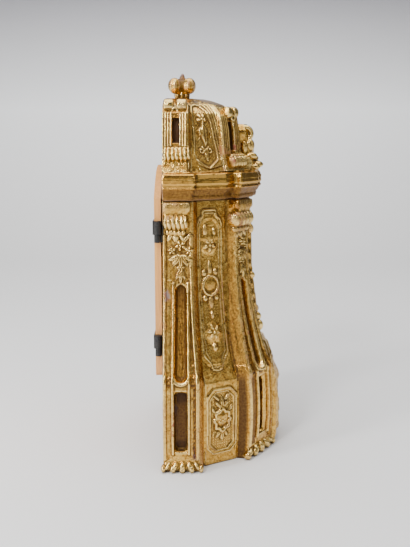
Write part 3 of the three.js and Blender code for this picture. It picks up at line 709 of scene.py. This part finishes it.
def edged_sheet(turn, reach_at, relief, edges, margin, height_range, step, depth=1.2, columns=60):
    """A carved face whose two edges move with height, with a margin beyond each."""
    rows = int(round((height_range[1] - height_range[0]) / step)) + 1
    z = np.linspace(*height_range, rows)[:, None]
    share = np.linspace(0, 1, columns)[None, :]
    low, high = edges(z)
    along = (low - margin[0]) * (1 - share) + (high + margin[1]) * share
    z = z + 0 * along
    out, hollow = relief(along, z)
    base = reach_at(z)
    back = place(turn, base + np.minimum(out, 0) - depth, along, z)
    verts, faces = sheet_body(place(turn, base + out, along, z), back)
    return verts, faces, np.concatenate([hollow.ravel(), 0 * hollow.ravel()])


rear_piers = both_sides("carved_rear_pier", edged_sheet(
    0.0, lambda z: pier_reach(REAR_REACH, z), pier_relief(rear_edges, 0.0, 0.0, 6.2, 13.0, 5.0, 0.0),
    rear_edges, (0.0, 4.4), PIER_HEIGHTS, PIER_STEP))
corner_piers = both_sides("carved_corner_pier", edged_sheet(
    CORNER_TURN, lambda z: pier_reach(CORNER_REACH, z),
    pier_relief(corner_edges, 3.0, 3.0, 8.8, 11.0, 5.0, 6.0, 0.62),
    corner_edges, (6.0, 6.6), PIER_HEIGHTS, PIER_STEP, columns=72))

# %% [markdown]
# Scrolled capitals, rib feet and toes
#
# Each pier carries a fluted roll under a small block, and each rib of the dome ends in one. A roll is
# turned round a line that lies across the face; its flutes lean, so that the light breaks on them. The
# feet are rows of rounded toes. All are joined closed bodies set a little into what carries them.

# %% Turned ornaments
def fluted_roll(turn, reach, z, span, radius, flutes, lean, waist=0.72, rows=72, sides=30):
    """A closed roll across a face, with leaning flutes and rounded ends."""
    share = np.linspace(0, 1, rows)[:, None]
    angle = np.linspace(0, 2 * math.pi, sides, endpoint=False)[None, :]
    end = np.sqrt(clamp(1 - (np.abs(share - 0.5) * 2) ** 8))
    wave = np.abs(np.sin(math.pi * (share * flutes + lean * angle / (2 * math.pi)))) ** 0.7
    size = radius * end * (waist + (1 - waist) * wave) + 0.05
    along = span[0] + (span[1] - span[0]) * share + 0 * angle
    points = place(turn, reach + size * np.cos(angle), along, z + size * np.sin(angle)).reshape(-1, 3)
    faces = grid_faces(rows, sides, closed_columns=True)
    faces += [tuple(reversed(range(sides))), tuple(range((rows - 1) * sides, rows * sides))]
    return points, faces


def ball(turn, reach, along, z, sizes, lean=0.0, rings=14, sides=20, flutes=0):
    """A closed egg; sizes are outward, along and upward, and lean tips it in the face's plane."""
    polar = np.linspace(0.02, math.pi - 0.02, rings)[:, None]
    angle = np.linspace(0, 2 * math.pi, sides, endpoint=False)[None, :]
    fluting = 1 - 0.09 * (0.5 - 0.5 * np.cos(angle * flutes)) ** 3
    out = sizes[0] * np.sin(polar) * np.cos(angle) * fluting
    across = sizes[1] * np.sin(polar) * np.sin(angle) * fluting
    up = sizes[2] * np.cos(polar) + 0 * angle
    moved = across * math.cos(lean) - up * math.sin(lean)
    raised = across * math.sin(lean) + up * math.cos(lean)
    points = place(turn, reach + out, along + moved, z + raised).reshape(-1, 3)
    faces = [tuple(reversed(face)) for face in grid_faces(rings, sides, closed_columns=True)]
    faces += [tuple(range(sides)), tuple(reversed(range((rings - 1) * sides, rings * sides)))]
    return points, faces
    return points, faces


def torus(turn, reach, along, z, radius, tube, plane, rings=28, sides=12):
    """A closed ring; plane is "face" when it lies on the face and "side" when it is seen from the side."""
    angle = np.linspace(0, 2 * math.pi, rings, endpoint=False)[:, None]
    round_tube = np.linspace(0, 2 * math.pi, sides, endpoint=False)[None, :]
    size = radius + tube * np.cos(round_tube)
    first, second = size * np.cos(angle), size * np.sin(angle)
    third = tube * np.sin(round_tube) + 0 * angle
    if plane == "face":
        points = place(turn, reach + third, along + first, z + second)
    else:
        points = place(turn, reach + first, along - third, z + second)
    return points.reshape(-1, 3), grid_faces(rings, sides, closed_rows=True, closed_columns=True)


def gathered(parts):
    points, faces, start = [], [], 0
    for verts, polygons in parts:
        polygons = outward(verts, polygons)
        points.append(verts)
        faces += [tuple(start + corner for corner in face) for face in polygons]
        start += len(verts)
    return np.concatenate(points), faces


# %% Capitals and toes
def capital_parts(turn, reach, span):
    """A large fluted roll, a smaller one under it with its flutes leaning back, and three drops."""
    parts = [fluted_roll(turn, reach + 1.2, 249.0, span, 8.3, 6.0, 1.0, waist=0.80)]
    shorter = (span[0] + 2.5, span[1] - 2.5)
    parts.append(fluted_roll(turn, reach + 0.6, 239.5, shorter, 4.2, 5.0, -1.0, waist=0.80))
    middle = (span[0] + span[1]) / 2
    for offset, size in ((-6.0, 3.0), (0.0, 4.0), (6.0, 3.0)):
        sizes = (2.6, size * 0.8, 5.4)
        parts.append(ball(turn, reach + 0.8, middle + offset, 234.5, sizes, lean=offset * 0.07))
    return parts


def toe_parts(turn, reach, span, count):
    parts = []
    middle = (span[0] + span[1]) / 2
    for index in range(count):
        share = index / (count - 1)
        along = span[0] + (span[1] - span[0]) * share
        big = 1 + 0.35 * math.cos((share - 0.5) * math.pi)
        spread = (along - middle) * 0.04
        out = 5.2 * big - 2.0
        parts.append(ball(turn, reach - 2.0, along, 6.6, (out + 4, 3.1 * big, 6.4), lean=spread))
        parts.append(ball(turn, reach + out * 0.55, along + spread * 6, 4.4, (4.2, 2.5 * big, 4.3)))
    return parts


rear_top = float(pier_reach(REAR_REACH, WAIST))
corner_top = float(pier_reach(CORNER_REACH, WAIST))
capitals = both_sides("rear_capital", gathered(capital_parts(0.0, rear_top, (-17.6, 8.2))))
capitals += both_sides("corner_capital", gathered(capital_parts(CORNER_TURN, corner_top, (-17.5, 17.5))))
toes = both_sides("rear_toes", gathered(toe_parts(0.0, REAR_REACH, (-14.0, 16.5), 5)))
toes += both_sides("corner_toes", gathered(toe_parts(CORNER_TURN, CORNER_REACH, (-18.0, 24.0), 5)))

# %% [markdown]
# The crown
#
# Cornice, dome, ribs and cartouche are one carved work too, remade as an even skin. Its plain cornice is
# cut into fillets and beads, and its fascia keeps a polished band, stored as "polish". The skin sinks
# under the ribs, where sharper carved faces will lie, and the finial's four fruits are spread apart.

# %% Crown profiles
DOME_HEIGHT = 74.0
DOME_RISES = (0, 0.1, 0.27, 0.55, 0.78, 0.9, 0.97, 1)
DOME_SHARES = (1, 0.95, 0.89, 0.86, 0.8, 0.66, 0.42, 0.2)
REAR_RIB_REACH, CORNER_RIB_REACH = 78.0, 72.0


def dome_share(z):
    return np.interp((z - CORNICE_TOP) / DOME_HEIGHT, DOME_RISES, DOME_SHARES)


def rib_reach(full):
    return lambda z: (full - 5.0) * dome_share(z) + 5.0


def cornice_lines(z):
    """How far the cornice's skin moves out at each height, to cut its fillets and beads."""
    lines = -1.3 * dome_mark(z - 284.3, 1.3) + 0.7 * dome_mark(z - 281.6, 1.3)
    lines = lines - 0.8 * dome_mark(z - 275.0, 1.1)
    return lines - 0.6 * dome_mark(z - 293.4, 1.0) - 0.5 * smooth(286.0, 289.5, z) * smooth(293.0, 290.0, z)


def reshape_crown(mesh, ribs):
    """Sinks the skin under the ribs' carving, spreads the finial's fruits and cuts the cornice's lines."""
    local, normals, sign = face_places(mesh)
    x, y, z = local[:, 0] * sign, local[:, 1], local[:, 2]
    for turn, full, centre, half in ribs:
        out, side = face_axes(turn)
        distance = x * out[0] + y * out[1]
        along = x * side[0] + y * side[1]
        limit = rib_reach(full)(z) - 6.2
        sunk = (np.abs(along - centre) < half) & (z > CORNICE_TOP + 1.5) & (z < CREST + 1)
        back = np.where(sunk, clamp(distance - limit, 0.0, 14.0), 0.0)
        x, y = x - back * out[0], y - back * out[1]
    fruit = (z > CREST + 4) & (z < CREST + 22) & (np.hypot(x, y) > 4.4)
    lobe_x, lobe_y = np.sign(x) * 6.2, np.sign(y) * 6.2
    x = np.where(fruit, lobe_x * 1.25 + (x - lobe_x) * 0.78, x)
    y = np.where(fruit, lobe_y * 1.25 + (y - lobe_y) * 0.78, y)
    level = np.maximum(np.hypot(normals[:, 0], normals[:, 1]), 0.2)
    lines = np.where((z < 296) & (z > 270.5) & (y < BACK - 0.8), cornice_lines(z), 0.0)
    x = x + lines * normals[:, 0] * sign / level
    y = y + lines * normals[:, 1] / level
    move_corners(mesh, np.stack([x * sign, y + MIDDLE, z], axis=1) * MM)


def crown_shade(p):
    """Painted shade between the fruits and under the fascia, and a painted warm shade on the fascia towards
    the back.
    """
    fruits = 0.8 * (p[:, 2] > CREST + 3) * (np.hypot(p[:, 0], p[:, 1]) < 4.3) * (p[:, 2] < CREST + 24)
    behind = 0.25 * smooth(-20, 0, p[:, 1]) * smooth(297.5, 296.0, p[:, 2])
    return highest(fruits, 0.80 * smooth(283.5, 280.5, p[:, 2]), behind)


crown_mesh = even_mesh("crown", 1.4, 4)
reshape_crown(crown_mesh, ((0.0, REAR_RIB_REACH, -6.0, 14.0), (CORNER_TURN, CORNER_RIB_REACH, 3.0, 13.4)))
crown_places = push_faces(crown_mesh, [], undulation=0.25, seed=7)
crown_z = crown_places[:, 2]
store(crown_mesh, "bare", (crown_places[:, 1] > BACK - 0.9) | (crown_z < 270.6))
store(crown_mesh, "polish", smooth(282.0, 284.0, crown_z) * smooth(297.5, 296.5, crown_z))
store(crown_mesh, "hollow", crown_shade(crown_places))
carved_crown = skin_piece("carved_crown", crown_mesh, "crown")

# %% [markdown]
# Ribs and panels of the dome
#
# Each rib is a rounded bar with beads along it and a short dark slot, ending in a fluted roll below and
# in a scroll above. Between the ribs lies a curved panel with a flower, a falling leaf and a lattice
# ground. They are sheets like the piers, on a reach that follows the dome's own steps.

# %% Rib faces
CORNER_RIB_TURN = 46.0
RIB_STEP = 0.65


def rib_relief(edges, centre, slot_low, slot_high):
    def relief(along, z):
        low, high = edges(z)
        side = np.abs(along - centre)
        fade = smooth(slot_low - 5.5, slot_low - 2.5, z) * smooth(slot_high + 8.0, slot_high + 5.0, z)
        marks = highest(*(rise * dome_mark(side - offset, 1.25) * fade
                          for offset, rise in ((4.6, 1.7), (7.2, 1.5), (9.8, 1.5), (12.4, 1.3))))
        slot_edge = highest(side - 3.2, slot_low - z, z - slot_high)
        cuts = 5.4 * smooth(0.4, -0.4, slot_edge)
        after = 4.5 * clamp((along - high) / 3.2)
        before = 3.0 * clamp((low - along) / 2.4)
        shadow = smooth(0.6, -0.4, slot_edge) + 0.45 * fade * (marks < 0.5)
        return marks - cuts - after - before + 0.4, shadow
    return relief


rear_rib_edges = edge_span(-BACK + 0.25, 7.0)
corner_rib_edges = edge_span(-5.5, 18.5)
rib_faces = both_sides("carved_rear_rib", edged_sheet(
    0.0, rib_reach(REAR_RIB_REACH), rib_relief(rear_rib_edges, -4.6, 325.5, 349.0), rear_rib_edges,
    (0.0, 4.0), (297.5, 362.0), RIB_STEP, columns=56, depth=4.0))
rib_faces += both_sides("carved_corner_rib", edged_sheet(
    CORNER_RIB_TURN, rib_reach(CORNER_RIB_REACH), rib_relief(corner_rib_edges, 6.5, 318.0, 346.0),
    corner_rib_edges, (2.6, 3.4), (297.5, 361.0), RIB_STEP, columns=60, depth=9.0))

# %% Side panels of the dome
def dome_panel_relief(along, z):
    a = along + 5.0 + (z - 302.0) * 0.10
    side = np.abs(a)
    border = [(0.0, 300.5), (5.5, 304.0), (12.5, 309.0), (13.0, 316.0), (11.0, 332.0), (10.5, 346.0),
              (8.5, 356.0), (4.0, 361.5), (0.0, 362.5)]
    marks = [flower_mark(a, z, (0.5, 348.5), 6.0, 5, 3.8, 0.3),
             leaf_mark(a, z, (0.5, 343.0), (0.5, 322.0), 9.0, 3.4),
             leaf_mark(side, z, (1.5, 341.0), (7.0, 330.0), 4.0, 2.4),
             ridge(side, z, scroll_points((4.8, 318.0), 3.4, 2.0, 1.0), 1.9, 2.2),
             leaf_mark(a, z, (0.0, 320.0), (0.0, 306.5), 5.0, 2.4)]
    for grow, rise in ((0.0, 1.7), (3.0, 1.3), (5.8, 1.5), (8.8, 1.4)):
        grown = [(x + grow if x > 0 else x, y + (grow if y > 350 else 0)) for x, y in border]
        marks.append(rise * dome_mark(path_distance(side, z, grown), 1.15) * ((grow < 5) | (a > 0)))
    marks = highest(*marks)
    notch = dome_mark(np.hypot((side - 6.4) / 1.9, (z - 333.0) / 4.2), 1.0)
    inside = (side < 9.6) & (z > 308) & (z < 357) & (marks < 0.25)
    ground = 0.40 * lattice_mark(a, z, 3.0, 1.3, 1.0) - 0.15
    edge = -3.0 * smooth(10.5, 14.5, -a) - 3.0 * smooth(23.0, 26.0, a)
    # The second array is painted shade in the notch.
    return np.where(inside, ground, marks) - 2.6 * notch + 0.5 + edge, 0.9 * notch


dome_panels = both_sides("carved_dome_panel", edged_sheet(
    PANEL_TURN, lambda z: 67.0 * dome_share(z), dome_panel_relief, edge_span(-25.0, 16.0), (0.0, 0.0),
    (297.0, 366.0), 0.6, columns=70))

# %% Rib scrolls and feet
def rib_end_parts(turn, full, span, foot_height, scroll_height, flutes, scroll_span):
    """A fluted roll with a bead over it and leaves under it, then two short rolls and a ring at the head."""
    foot_reach = float(rib_reach(full)(np.array(foot_height))) - 1.0
    scroll_reach = float(rib_reach(full)(np.array(scroll_height))) + 1.0
    middle = (span[0] + span[1]) / 2
    roll_span, bead_span = (span[0], span[1] + 2.5), (span[0] + 0.5, span[1] + 1.5)
    parts = [fluted_roll(turn, foot_reach, foot_height, roll_span, 7.6, flutes, 1.0, waist=0.76),
             fluted_roll(turn, foot_reach + 1.5, foot_height + 5.6, bead_span, 2.9, flutes, 0.0),
             ball(turn, foot_reach + 0.5, middle, foot_height - 9.5, (3.6, 2.6, 4.2))]
    for offset in (-1, 1):
        parts.append(ball(turn, foot_reach + 0.2, middle + offset * 3.8, foot_height - 9.0, (2.6, 1.7, 3.8),
                          lean=0.7 * offset))
    centre = (scroll_span[0] + scroll_span[1]) / 2
    for half_span in ((scroll_span[0], centre - 0.9), (centre + 0.9, scroll_span[1])):
        parts.append(fluted_roll(turn, scroll_reach, scroll_height, half_span, 6.2, 1.0, 0.0, waist=0.94))
    parts.append(torus(turn, scroll_reach + 4.6, centre, scroll_height - 5.0, 2.5, 1.1, "face"))
    return parts


rib_ends = both_sides("rear_rib_ends", gathered(rib_end_parts(
    0.0, REAR_RIB_REACH, (-17.6, 8.4), 313.2, 361.5, 7.0, (-17.2, 6.6))))
rib_ends += both_sides("corner_rib_ends", gathered(rib_end_parts(
    50.0, CORNER_RIB_REACH, (-5.5, 15.5), 306.0, 355.0, 6.0, (-3.0, 14.5))))

# %% [markdown]
# Cartouche, window scrolls and finial
#
# The front is hardly seen in the picture, so it is finished in keeping with the sides: volutes and leaves
# on the shield, scrolls beside the window, and a finial of four round fruits round the broken stub. Each
# is a handful of closed eggs and rings joined in one mesh, as a carver rounds up small leaves one by one.

# %% Front ornaments and finial
def cartouche_parts():
    """Volutes seen from the side at the head, then leaves that turn out towards the foot."""
    parts = []
    for side in (-1, 1):
        for aside, radius, tube in ((13.0, 6.4, 2.5), (10.0, 5.4, 3.4)):
            parts.append(torus(90.0, 66.0, side * aside, 334.5, radius, tube, "side"))
        for reach, aside, z, sizes, lean in (
                (70.5, 15.0, 322.5, (5.2, 3.4, 7.0), 0.0), (64.5, 18.0, 319.5, (4.2, 3.0, 7.6), -0.2),
                (72.0, 18.0, 311.5, (6.4, 3.2, 4.0), -0.4), (78.0, 16.0, 303.0, (7.0, 4.4, 3.6), -0.3),
                (75.0, 20.5, 300.5, (6.4, 3.6, 3.2), 0.0)):
            parts.append(ball(90.0, reach, side * aside, z, sizes, lean=lean * side))
    for index in range(7):
        angle = math.radians(-90 + (index - 3) * 26)
        aside, high = 10.0 * math.cos(angle), CORNICE_TOP + 15 + 10 * math.sin(angle)
        parts.append(ball(90.0, 77.0, aside, high, (3.4, 2.4, 6.5), lean=math.pi / 2 + angle))
    return parts


def window_scroll_parts():
    parts = []
    for side in (-1, 1):
        for z, size in ((131.0, 5.2), (141.0, 4.0), (186.0, 3.4), (236.0, 4.6)):
            reach, sizes = float(bay_reach(z)) + 1.0, (4.4, size * 0.8, size * 1.25)
            parts.append(ball(90.0, reach, side * 19.5, z, sizes, lean=-0.3 * side))
    return parts


def finial_parts():
    fruits = [ball(math.degrees(math.pi / 4) + 90 * index, 10.6, 0.0, CREST + 13.0, (6.9, 6.9, 7.8),
                   rings=26, sides=36, flutes=7) for index in range(4)]
    return fruits + [ball(45.0 * index, 5.6, 0.0, CREST + 3.5, (2.6, 2.0, 4.6)) for index in range(8)]


front_carving = [new_piece(name, *gathered(parts)) for name, parts in (
    ("cartouche_leaves", cartouche_parts()), ("window_scrolls", window_scroll_parts()),
    ("finial_fruits", finial_parts()))]
print([piece.name for piece in front_carving])

# %% [markdown]
# Finishes
#
# Each finish is one function that returns a node material. Its colours come from noise over the object's
# own places and from the numbers stored on the meshes, so nothing depends on where the camera or a light
# stands.

# %% Node helpers
def new_material(name):
    """A node material, its tree and shader, and the object's own places for its textures."""
    material = bpy.data.materials.new(name)
    material.use_nodes = True
    tree = material.node_tree
    spot = tree.nodes.new("ShaderNodeTexCoord").outputs["Object"]
    return material, tree, tree.nodes["Principled BSDF"], spot


def feed(tree, socket, value):
    """Links another node's output to a socket, or sets its number or colour."""
    if isinstance(value, bpy.types.NodeSocket):
        tree.links.new(value, socket)
    else:
        socket.default_value = value


def add_node(tree, kind, **values):
    node = tree.nodes.new(kind)
    for key, value in values.items():
        if key in node.inputs:
            feed(tree, node.inputs[key], value)
        else:
            setattr(node, key, value)
    return node


def ramp(tree, source, stops):
    node = add_node(tree, "ShaderNodeValToRGB", Fac=source)
    elements = node.color_ramp.elements
    while len(elements) < len(stops):
        elements.new(0.5)
    for element, (position, colour) in zip(elements, stops):
        element.position = position
        element.color = (*colour, 1)
    return node.outputs["Color"]


def share(tree, source, low, high, first=0.0, last=1.0):
    """A grey that goes from first to last while its source goes from low to high."""
    return ramp(tree, source, [(low, (first,) * 3), (high, (last,) * 3)])


def mix_colour(tree, factor, first, second):
    node = add_node(tree, "ShaderNodeMix", data_type="RGBA")
    feed(tree, node.inputs[0], factor)
    for socket, colour in ((node.inputs[6], first), (node.inputs[7], second)):
        feed(tree, socket, (*colour, 1) if isinstance(colour, tuple) else colour)
    return node.outputs[2]


def maths(tree, operation, first, second):
    node = add_node(tree, "ShaderNodeMath", operation=operation)
    feed(tree, node.inputs[0], first)
    feed(tree, node.inputs[1], second)
    return node.outputs[0]


def times(tree, first, second):
    return maths(tree, "MULTIPLY", first, second)


def noise(tree, place_socket, scale, detail=3.0, roughness=0.55):
    node = add_node(tree, "ShaderNodeTexNoise", Scale=scale, Detail=detail, Roughness=roughness,
                    Vector=place_socket)
    return node.outputs["Fac"]


def stretched(tree, spot, upright):
    """Places squeezed upright, so that noise over them runs in long upright streaks."""
    return add_node(tree, "ShaderNodeMapping", Scale=(1.0, 1.0, upright), Vector=spot).outputs["Vector"]


def roughen(tree, shader, height, strength, distance):
    """Relief that is too fine for the mesh, through the shader's normal."""
    bump = add_node(tree, "ShaderNodeBump", Strength=strength, Distance=distance, Height=height)
    tree.links.new(bump.outputs["Normal"], shader.inputs["Normal"])


def attribute(tree, name):
    return add_node(tree, "ShaderNodeAttribute", attribute_name=name).outputs["Fac"]


# %% [markdown]
# Gilding
#
# Water gilding is thin gold leaf over red bole over white gesso, rubbed through where a hand reaches and
# brown where dust settles. The colour starts as mottled gold, gets a painted highlight on edges that stand
# proud ("form" below zero), a painted warm reflection and shade in shallow recesses and painted shade,
# nearly black, in deep ones ("hollow"), with dirt and painted shade in pits and creases, then shows red
# bole where it is rubbed, small dark flecks, and gesso where it is lost. Dirt, painted shade, bole and
# bare wood are dull, and gold is metal.

# %% Gilding
GOLD_STOPS = [(0.38, (0.30, 0.130, 0.020)), (0.48, (0.62, 0.340, 0.064)), (0.60, (0.88, 0.58, 0.145))]
# Painted warm reflection and shade for shallow recesses.
WARM_SHADE_STOPS = [(0.35, (0.32, 0.130, 0.018)), (0.65, (0.72, 0.38, 0.070))]
GROUND_STOPS = [(0.42, (0.30, 0.09, 0.045)), (0.56, (0.33, 0.25, 0.22))]
RAW_STOPS = [(0.3, (0.20, 0.11, 0.06)), (0.7, (0.34, 0.20, 0.11))]
# The second of these is a painted highlight colour for edges that stand proud.
OLD_GOLD, HIGHLIGHT_GOLD, SMOOTH_GOLD = (0.48, 0.25, 0.040), (1.0, 0.76, 0.29), (0.66, 0.37, 0.075)
# The last of these is the near black of dirt and painted shade in recesses.
BOLE, FLECK, DIRT_AND_SHADE = (0.30, 0.10, 0.05), (0.12, 0.05, 0.02), (0.042, 0.015, 0.004)


def gilding():
    material, tree, shader, spot = new_material("worn_gilding")
    broad = noise(tree, spot, 24.0, 3.0)
    leaf = noise(tree, spot, 170.0, 5.0, 0.62)
    chips = noise(tree, spot, 230.0, 2.0, 0.7)
    grain = noise(tree, spot, 480.0, 4.0, 0.6)
    fine = noise(tree, spot, 1100.0, 3.0, 0.6)
    brushed = noise(tree, stretched(tree, spot, 0.22), 320.0, 3.0, 0.55)
    form, hollow, polish, lost, bare = (
        attribute(tree, name) for name in ("form", "hollow", "polish", "loss", "bare"))
    rough_share = maths(tree, "SUBTRACT", 1.0, times(tree, polish, 0.8))
    # Gold, old in patches, with a painted highlight on proud edges and smoother on the polished band.
    mottle = maths(tree, "ADD", times(tree, grain, 0.6), times(tree, leaf, 0.4))
    gold = mix_colour(tree, share(tree, broad, 0.40, 0.68, 0, 0.6), ramp(tree, mottle, GOLD_STOPS), OLD_GOLD)
    crest = share(tree, times(tree, form, -1.0), 0.05, 0.36)
    # Painted highlight: edges that stand proud are painted a brighter gold.
    gold = mix_colour(tree, times(tree, crest, 0.62), gold, HIGHLIGHT_GOLD)
    gold = mix_colour(tree, times(tree, polish, 0.8), gold, SMOOTH_GOLD)
    # Painted warm reflection and shade where "hollow" is shallow.
    gold = mix_colour(tree, share(tree, hollow, 0.05, 0.50), gold, ramp(tree, grain, WARM_SHADE_STOPS))
    # Dirt and painted shade in pits and creases (from ambient occlusion too), and painted shade in deep
    # hollows.
    corner = add_node(tree, "ShaderNodeAmbientOcclusion", samples=8, Distance=0.006).outputs["AO"]
    dirt_and_shade = maths(tree, "MAXIMUM", share(tree, form, 0.01, 0.15), share(tree, corner, 0.30, 0.90, 1, 0))
    dirt_and_shade = times(tree, dirt_and_shade, share(tree, fine, 0.30, 0.70, 1, 0.55))
    dirt_and_shade = maths(tree, "MAXIMUM", dirt_and_shade, share(tree, hollow, 0.50, 0.95, 0, 0.95))
    # Wear: rubbed edges, flecks and chips.
    rubbed = times(tree, times(tree, crest, share(tree, broad, 0.50, 0.64)), share(tree, leaf, 0.46, 0.56))
    specks = share(tree, grain, 0.335, 0.365, 1, 0)
    flecks = maths(tree, "MAXIMUM", specks, share(tree, chips, 0.285, 0.325, 1, 0))
    flecks = times(tree, flecks, times(tree, rough_share, 0.8))
    colour = mix_colour(tree, rubbed, gold, BOLE)
    colour = mix_colour(tree, flecks, colour, FLECK)
    colour = mix_colour(tree, lost, colour, ramp(tree, leaf, GROUND_STOPS))
    colour = mix_colour(tree, dirt_and_shade, colour, DIRT_AND_SHADE)
    colour = mix_colour(tree, bare, colour, ramp(tree, brushed, RAW_STOPS))
    tree.links.new(colour, shader.inputs["Base Color"])
    dull = maths(tree, "MAXIMUM", maths(tree, "MAXIMUM", maths(tree, "POWER", dirt_and_shade, 1.5), rubbed), bare)
    dull = maths(tree, "MAXIMUM", dull, lost)
    tree.links.new(maths(tree, "SUBTRACT", 1.0, times(tree, dull, 0.9)), shader.inputs["Metallic"])
    rough = maths(tree, "ADD", 0.10, times(tree, leaf, 0.20))
    rough = maths(tree, "SUBTRACT", rough, times(tree, crest, 0.07))
    tree.links.new(maths(tree, "ADD", rough, times(tree, dull, 0.3)), shader.inputs["Roughness"])
    height = maths(tree, "ADD", times(tree, fine, 0.35), maths(tree, "ADD", leaf, brushed))
    roughen(tree, shader, times(tree, height, rough_share), 0.60, 0.0007)
    shader.inputs["Specular IOR Level"].default_value = 0.22
    return material


# %% [markdown]
# Plain finishes
#
# The door is bare planed softwood, so its noise is drawn out upright like grain. The hinges are blackened
# forged iron, matt and a little pitted. The pane is old glass, which needs only a faint ripple.

# %% Wood, iron and glass
WOOD_STOPS = [(0.3, (0.58, 0.235, 0.040)), (0.55, (0.81, 0.37, 0.070)), (0.8, (0.88, 0.48, 0.125))]
PALE_WOOD = (0.72, 0.37, 0.17)
IRON_STOPS = [(0.35, (0.012, 0.012, 0.012)), (0.7, (0.045, 0.040, 0.036))]


def bare_wood():
    material, tree, shader, spot = new_material("bare_wood")
    upright = stretched(tree, spot, 0.06)
    grain = noise(tree, upright, 420.0, 5.0, 0.65)
    patches = share(tree, noise(tree, upright, 60.0, 3.0), 0.4, 0.7, 0, 0.5)
    colour = mix_colour(tree, patches, ramp(tree, grain, WOOD_STOPS), PALE_WOOD)
    tree.links.new(colour, shader.inputs["Base Color"])
    shader.inputs["Roughness"].default_value = 0.72
    roughen(tree, shader, grain, 0.4, 0.0004)
    return material


def black_iron():
    material, tree, shader, spot = new_material("black_iron")
    pits = noise(tree, spot, 500.0, 4.0)
    tree.links.new(ramp(tree, pits, IRON_STOPS), shader.inputs["Base Color"])
    shader.inputs["Metallic"].default_value = 0.4
    shader.inputs["Roughness"].default_value = 0.62
    roughen(tree, shader, pits, 0.4, 0.0003)
    return material


def old_glass():
    material, tree, shader, spot = new_material("old_glass")
    shader.inputs["Base Color"].default_value = (0.95, 0.98, 0.97, 1)
    shader.inputs["Transmission Weight"].default_value = 1.0
    shader.inputs["Roughness"].default_value = 0.03
    shader.inputs["IOR"].default_value = 1.5
    roughen(tree, shader, noise(tree, spot, 40.0, 1.0), 0.08, 0.001)
    return material


def dress(objects, material):
    for thing in objects:
        thing.data.materials.clear()
        thing.data.materials.append(material)
    print(material.name, "on", len(objects), "pieces")


iron_work = [name for name in nodes if "hinge" in name]
dress([carved_case, carved_crown, *side_panels, *rear_piers, *corner_piers, *capitals, *toes, *dome_panels,
       *rib_faces, *rib_ends, *front_carving, nodes["case"], nodes["crown"]], gilding())
dress([nodes["back_door"]], bare_wood())
dress([nodes[name] for name in iron_work], black_iron())
dress([nodes["window_glass"]], old_glass())
for name in ["back_door", *iron_work]:
    round_edge = nodes[name].modifiers.new("worn edges", "BEVEL")
    round_edge.width = (0.7 if name == "back_door" else 0.3) * MM
    round_edge.segments = 3
    round_edge.limit_method = "ANGLE"

# %% [markdown]
# Light and floor
#
# Gilding shows what it reflects, so the lights are large and soft: a wide sky above, a broad pale one
# behind the camera, a tall strip at the left and a dim card at the right. One smaller lamp beside the
# camera gives the crisp glints, and one lights the backdrop. The floor is a seamless pale sweep whose
# colour carries painted shade: it is painted darker as it rises.

# %% Stage
# Painted shade on the sweep: its colour grows darker as it rises up the backdrop.
FLOOR_SHADE_STOPS = [(0.0, (0.89, 0.885, 0.88)), (0.42, (0.97, 0.98, 0.99)), (0.80, (0.30, 0.295, 0.32))]
LIGHTS = (
    ("sky", (0.0, 0.1, 1.7), (0.0, 0, 0), (2.0, 1.9), 40),
    ("over_camera", (-1.10, 0.65, 1.2), (0, 0, 0.2), (0.30, 0.25), 13),
    ("behind_camera", (-2.3, 0.6, 0.6), (0, 0, 0.2), (1.5, 0.9), 4.5),
    ("left_strip", (-0.75, 1.15, 0.55), (0, 0, 0.2), (0.22, 1.0), 16),
    ("right_card", (-0.95, -1.4, 1.15), (0, 0, 0.2), (1.2, 1.2), 3.2),
    ("backdrop", (1.1, 0.0, 1.35), (1.85, 0, 0.45), (1.6, 0.4), 7))


def sweep():
    turn = np.linspace(0.1, math.pi / 2, 14)
    depth = np.concatenate([np.linspace(-1.6, 1.2, 8), 1.2 + 0.6 * np.sin(turn), np.full(4, 1.8)])
    rise = np.concatenate([np.zeros(8), 0.6 * (1 - np.cos(turn)), np.linspace(0.8, 2.6, 4)])
    width = np.linspace(-2.5, 2.5, 6)
    verts = [(d, w, h) for d, h in zip(depth, rise) for w in width]
    faces = [tuple(reversed(face)) for face in grid_faces(len(depth), len(width))]
    mesh = bpy.data.meshes.new("floor")
    mesh.from_pydata(verts, [], faces)
    mesh.shade_smooth()
    floor = placed("floor", mesh)
    material, tree, shader, spot = new_material("pale_sweep")
    height = add_node(tree, "ShaderNodeSeparateXYZ", Vector=spot).outputs["Z"]
    tree.links.new(ramp(tree, height, FLOOR_SHADE_STOPS), shader.inputs["Base Color"])
    shader.inputs["Roughness"].default_value = 0.9
    floor.data.materials.append(material)


def soft_light(name, location, target, size, power):
    data = bpy.data.lights.new(name, "AREA")
    data.shape = "RECTANGLE"
    data.size, data.size_y = size
    data.energy = power
    light = placed(name, data)
    light.location = location
    light.rotation_mode = "QUATERNION"
    light.rotation_quaternion = Vector(np.array(location) - np.array(target)).to_track_quat("Z", "Y")


sweep()
for light in LIGHTS:
    soft_light(*light)
world = bpy.data.worlds.new("room")
bpy.context.scene.world = world
world.use_nodes = True
room_light = world.node_tree.nodes["Background"]
room_light.inputs["Color"].default_value = (0.95, 0.94, 0.95, 1)
room_light.inputs["Strength"].default_value = 0.14
print(len(LIGHTS), "lights")
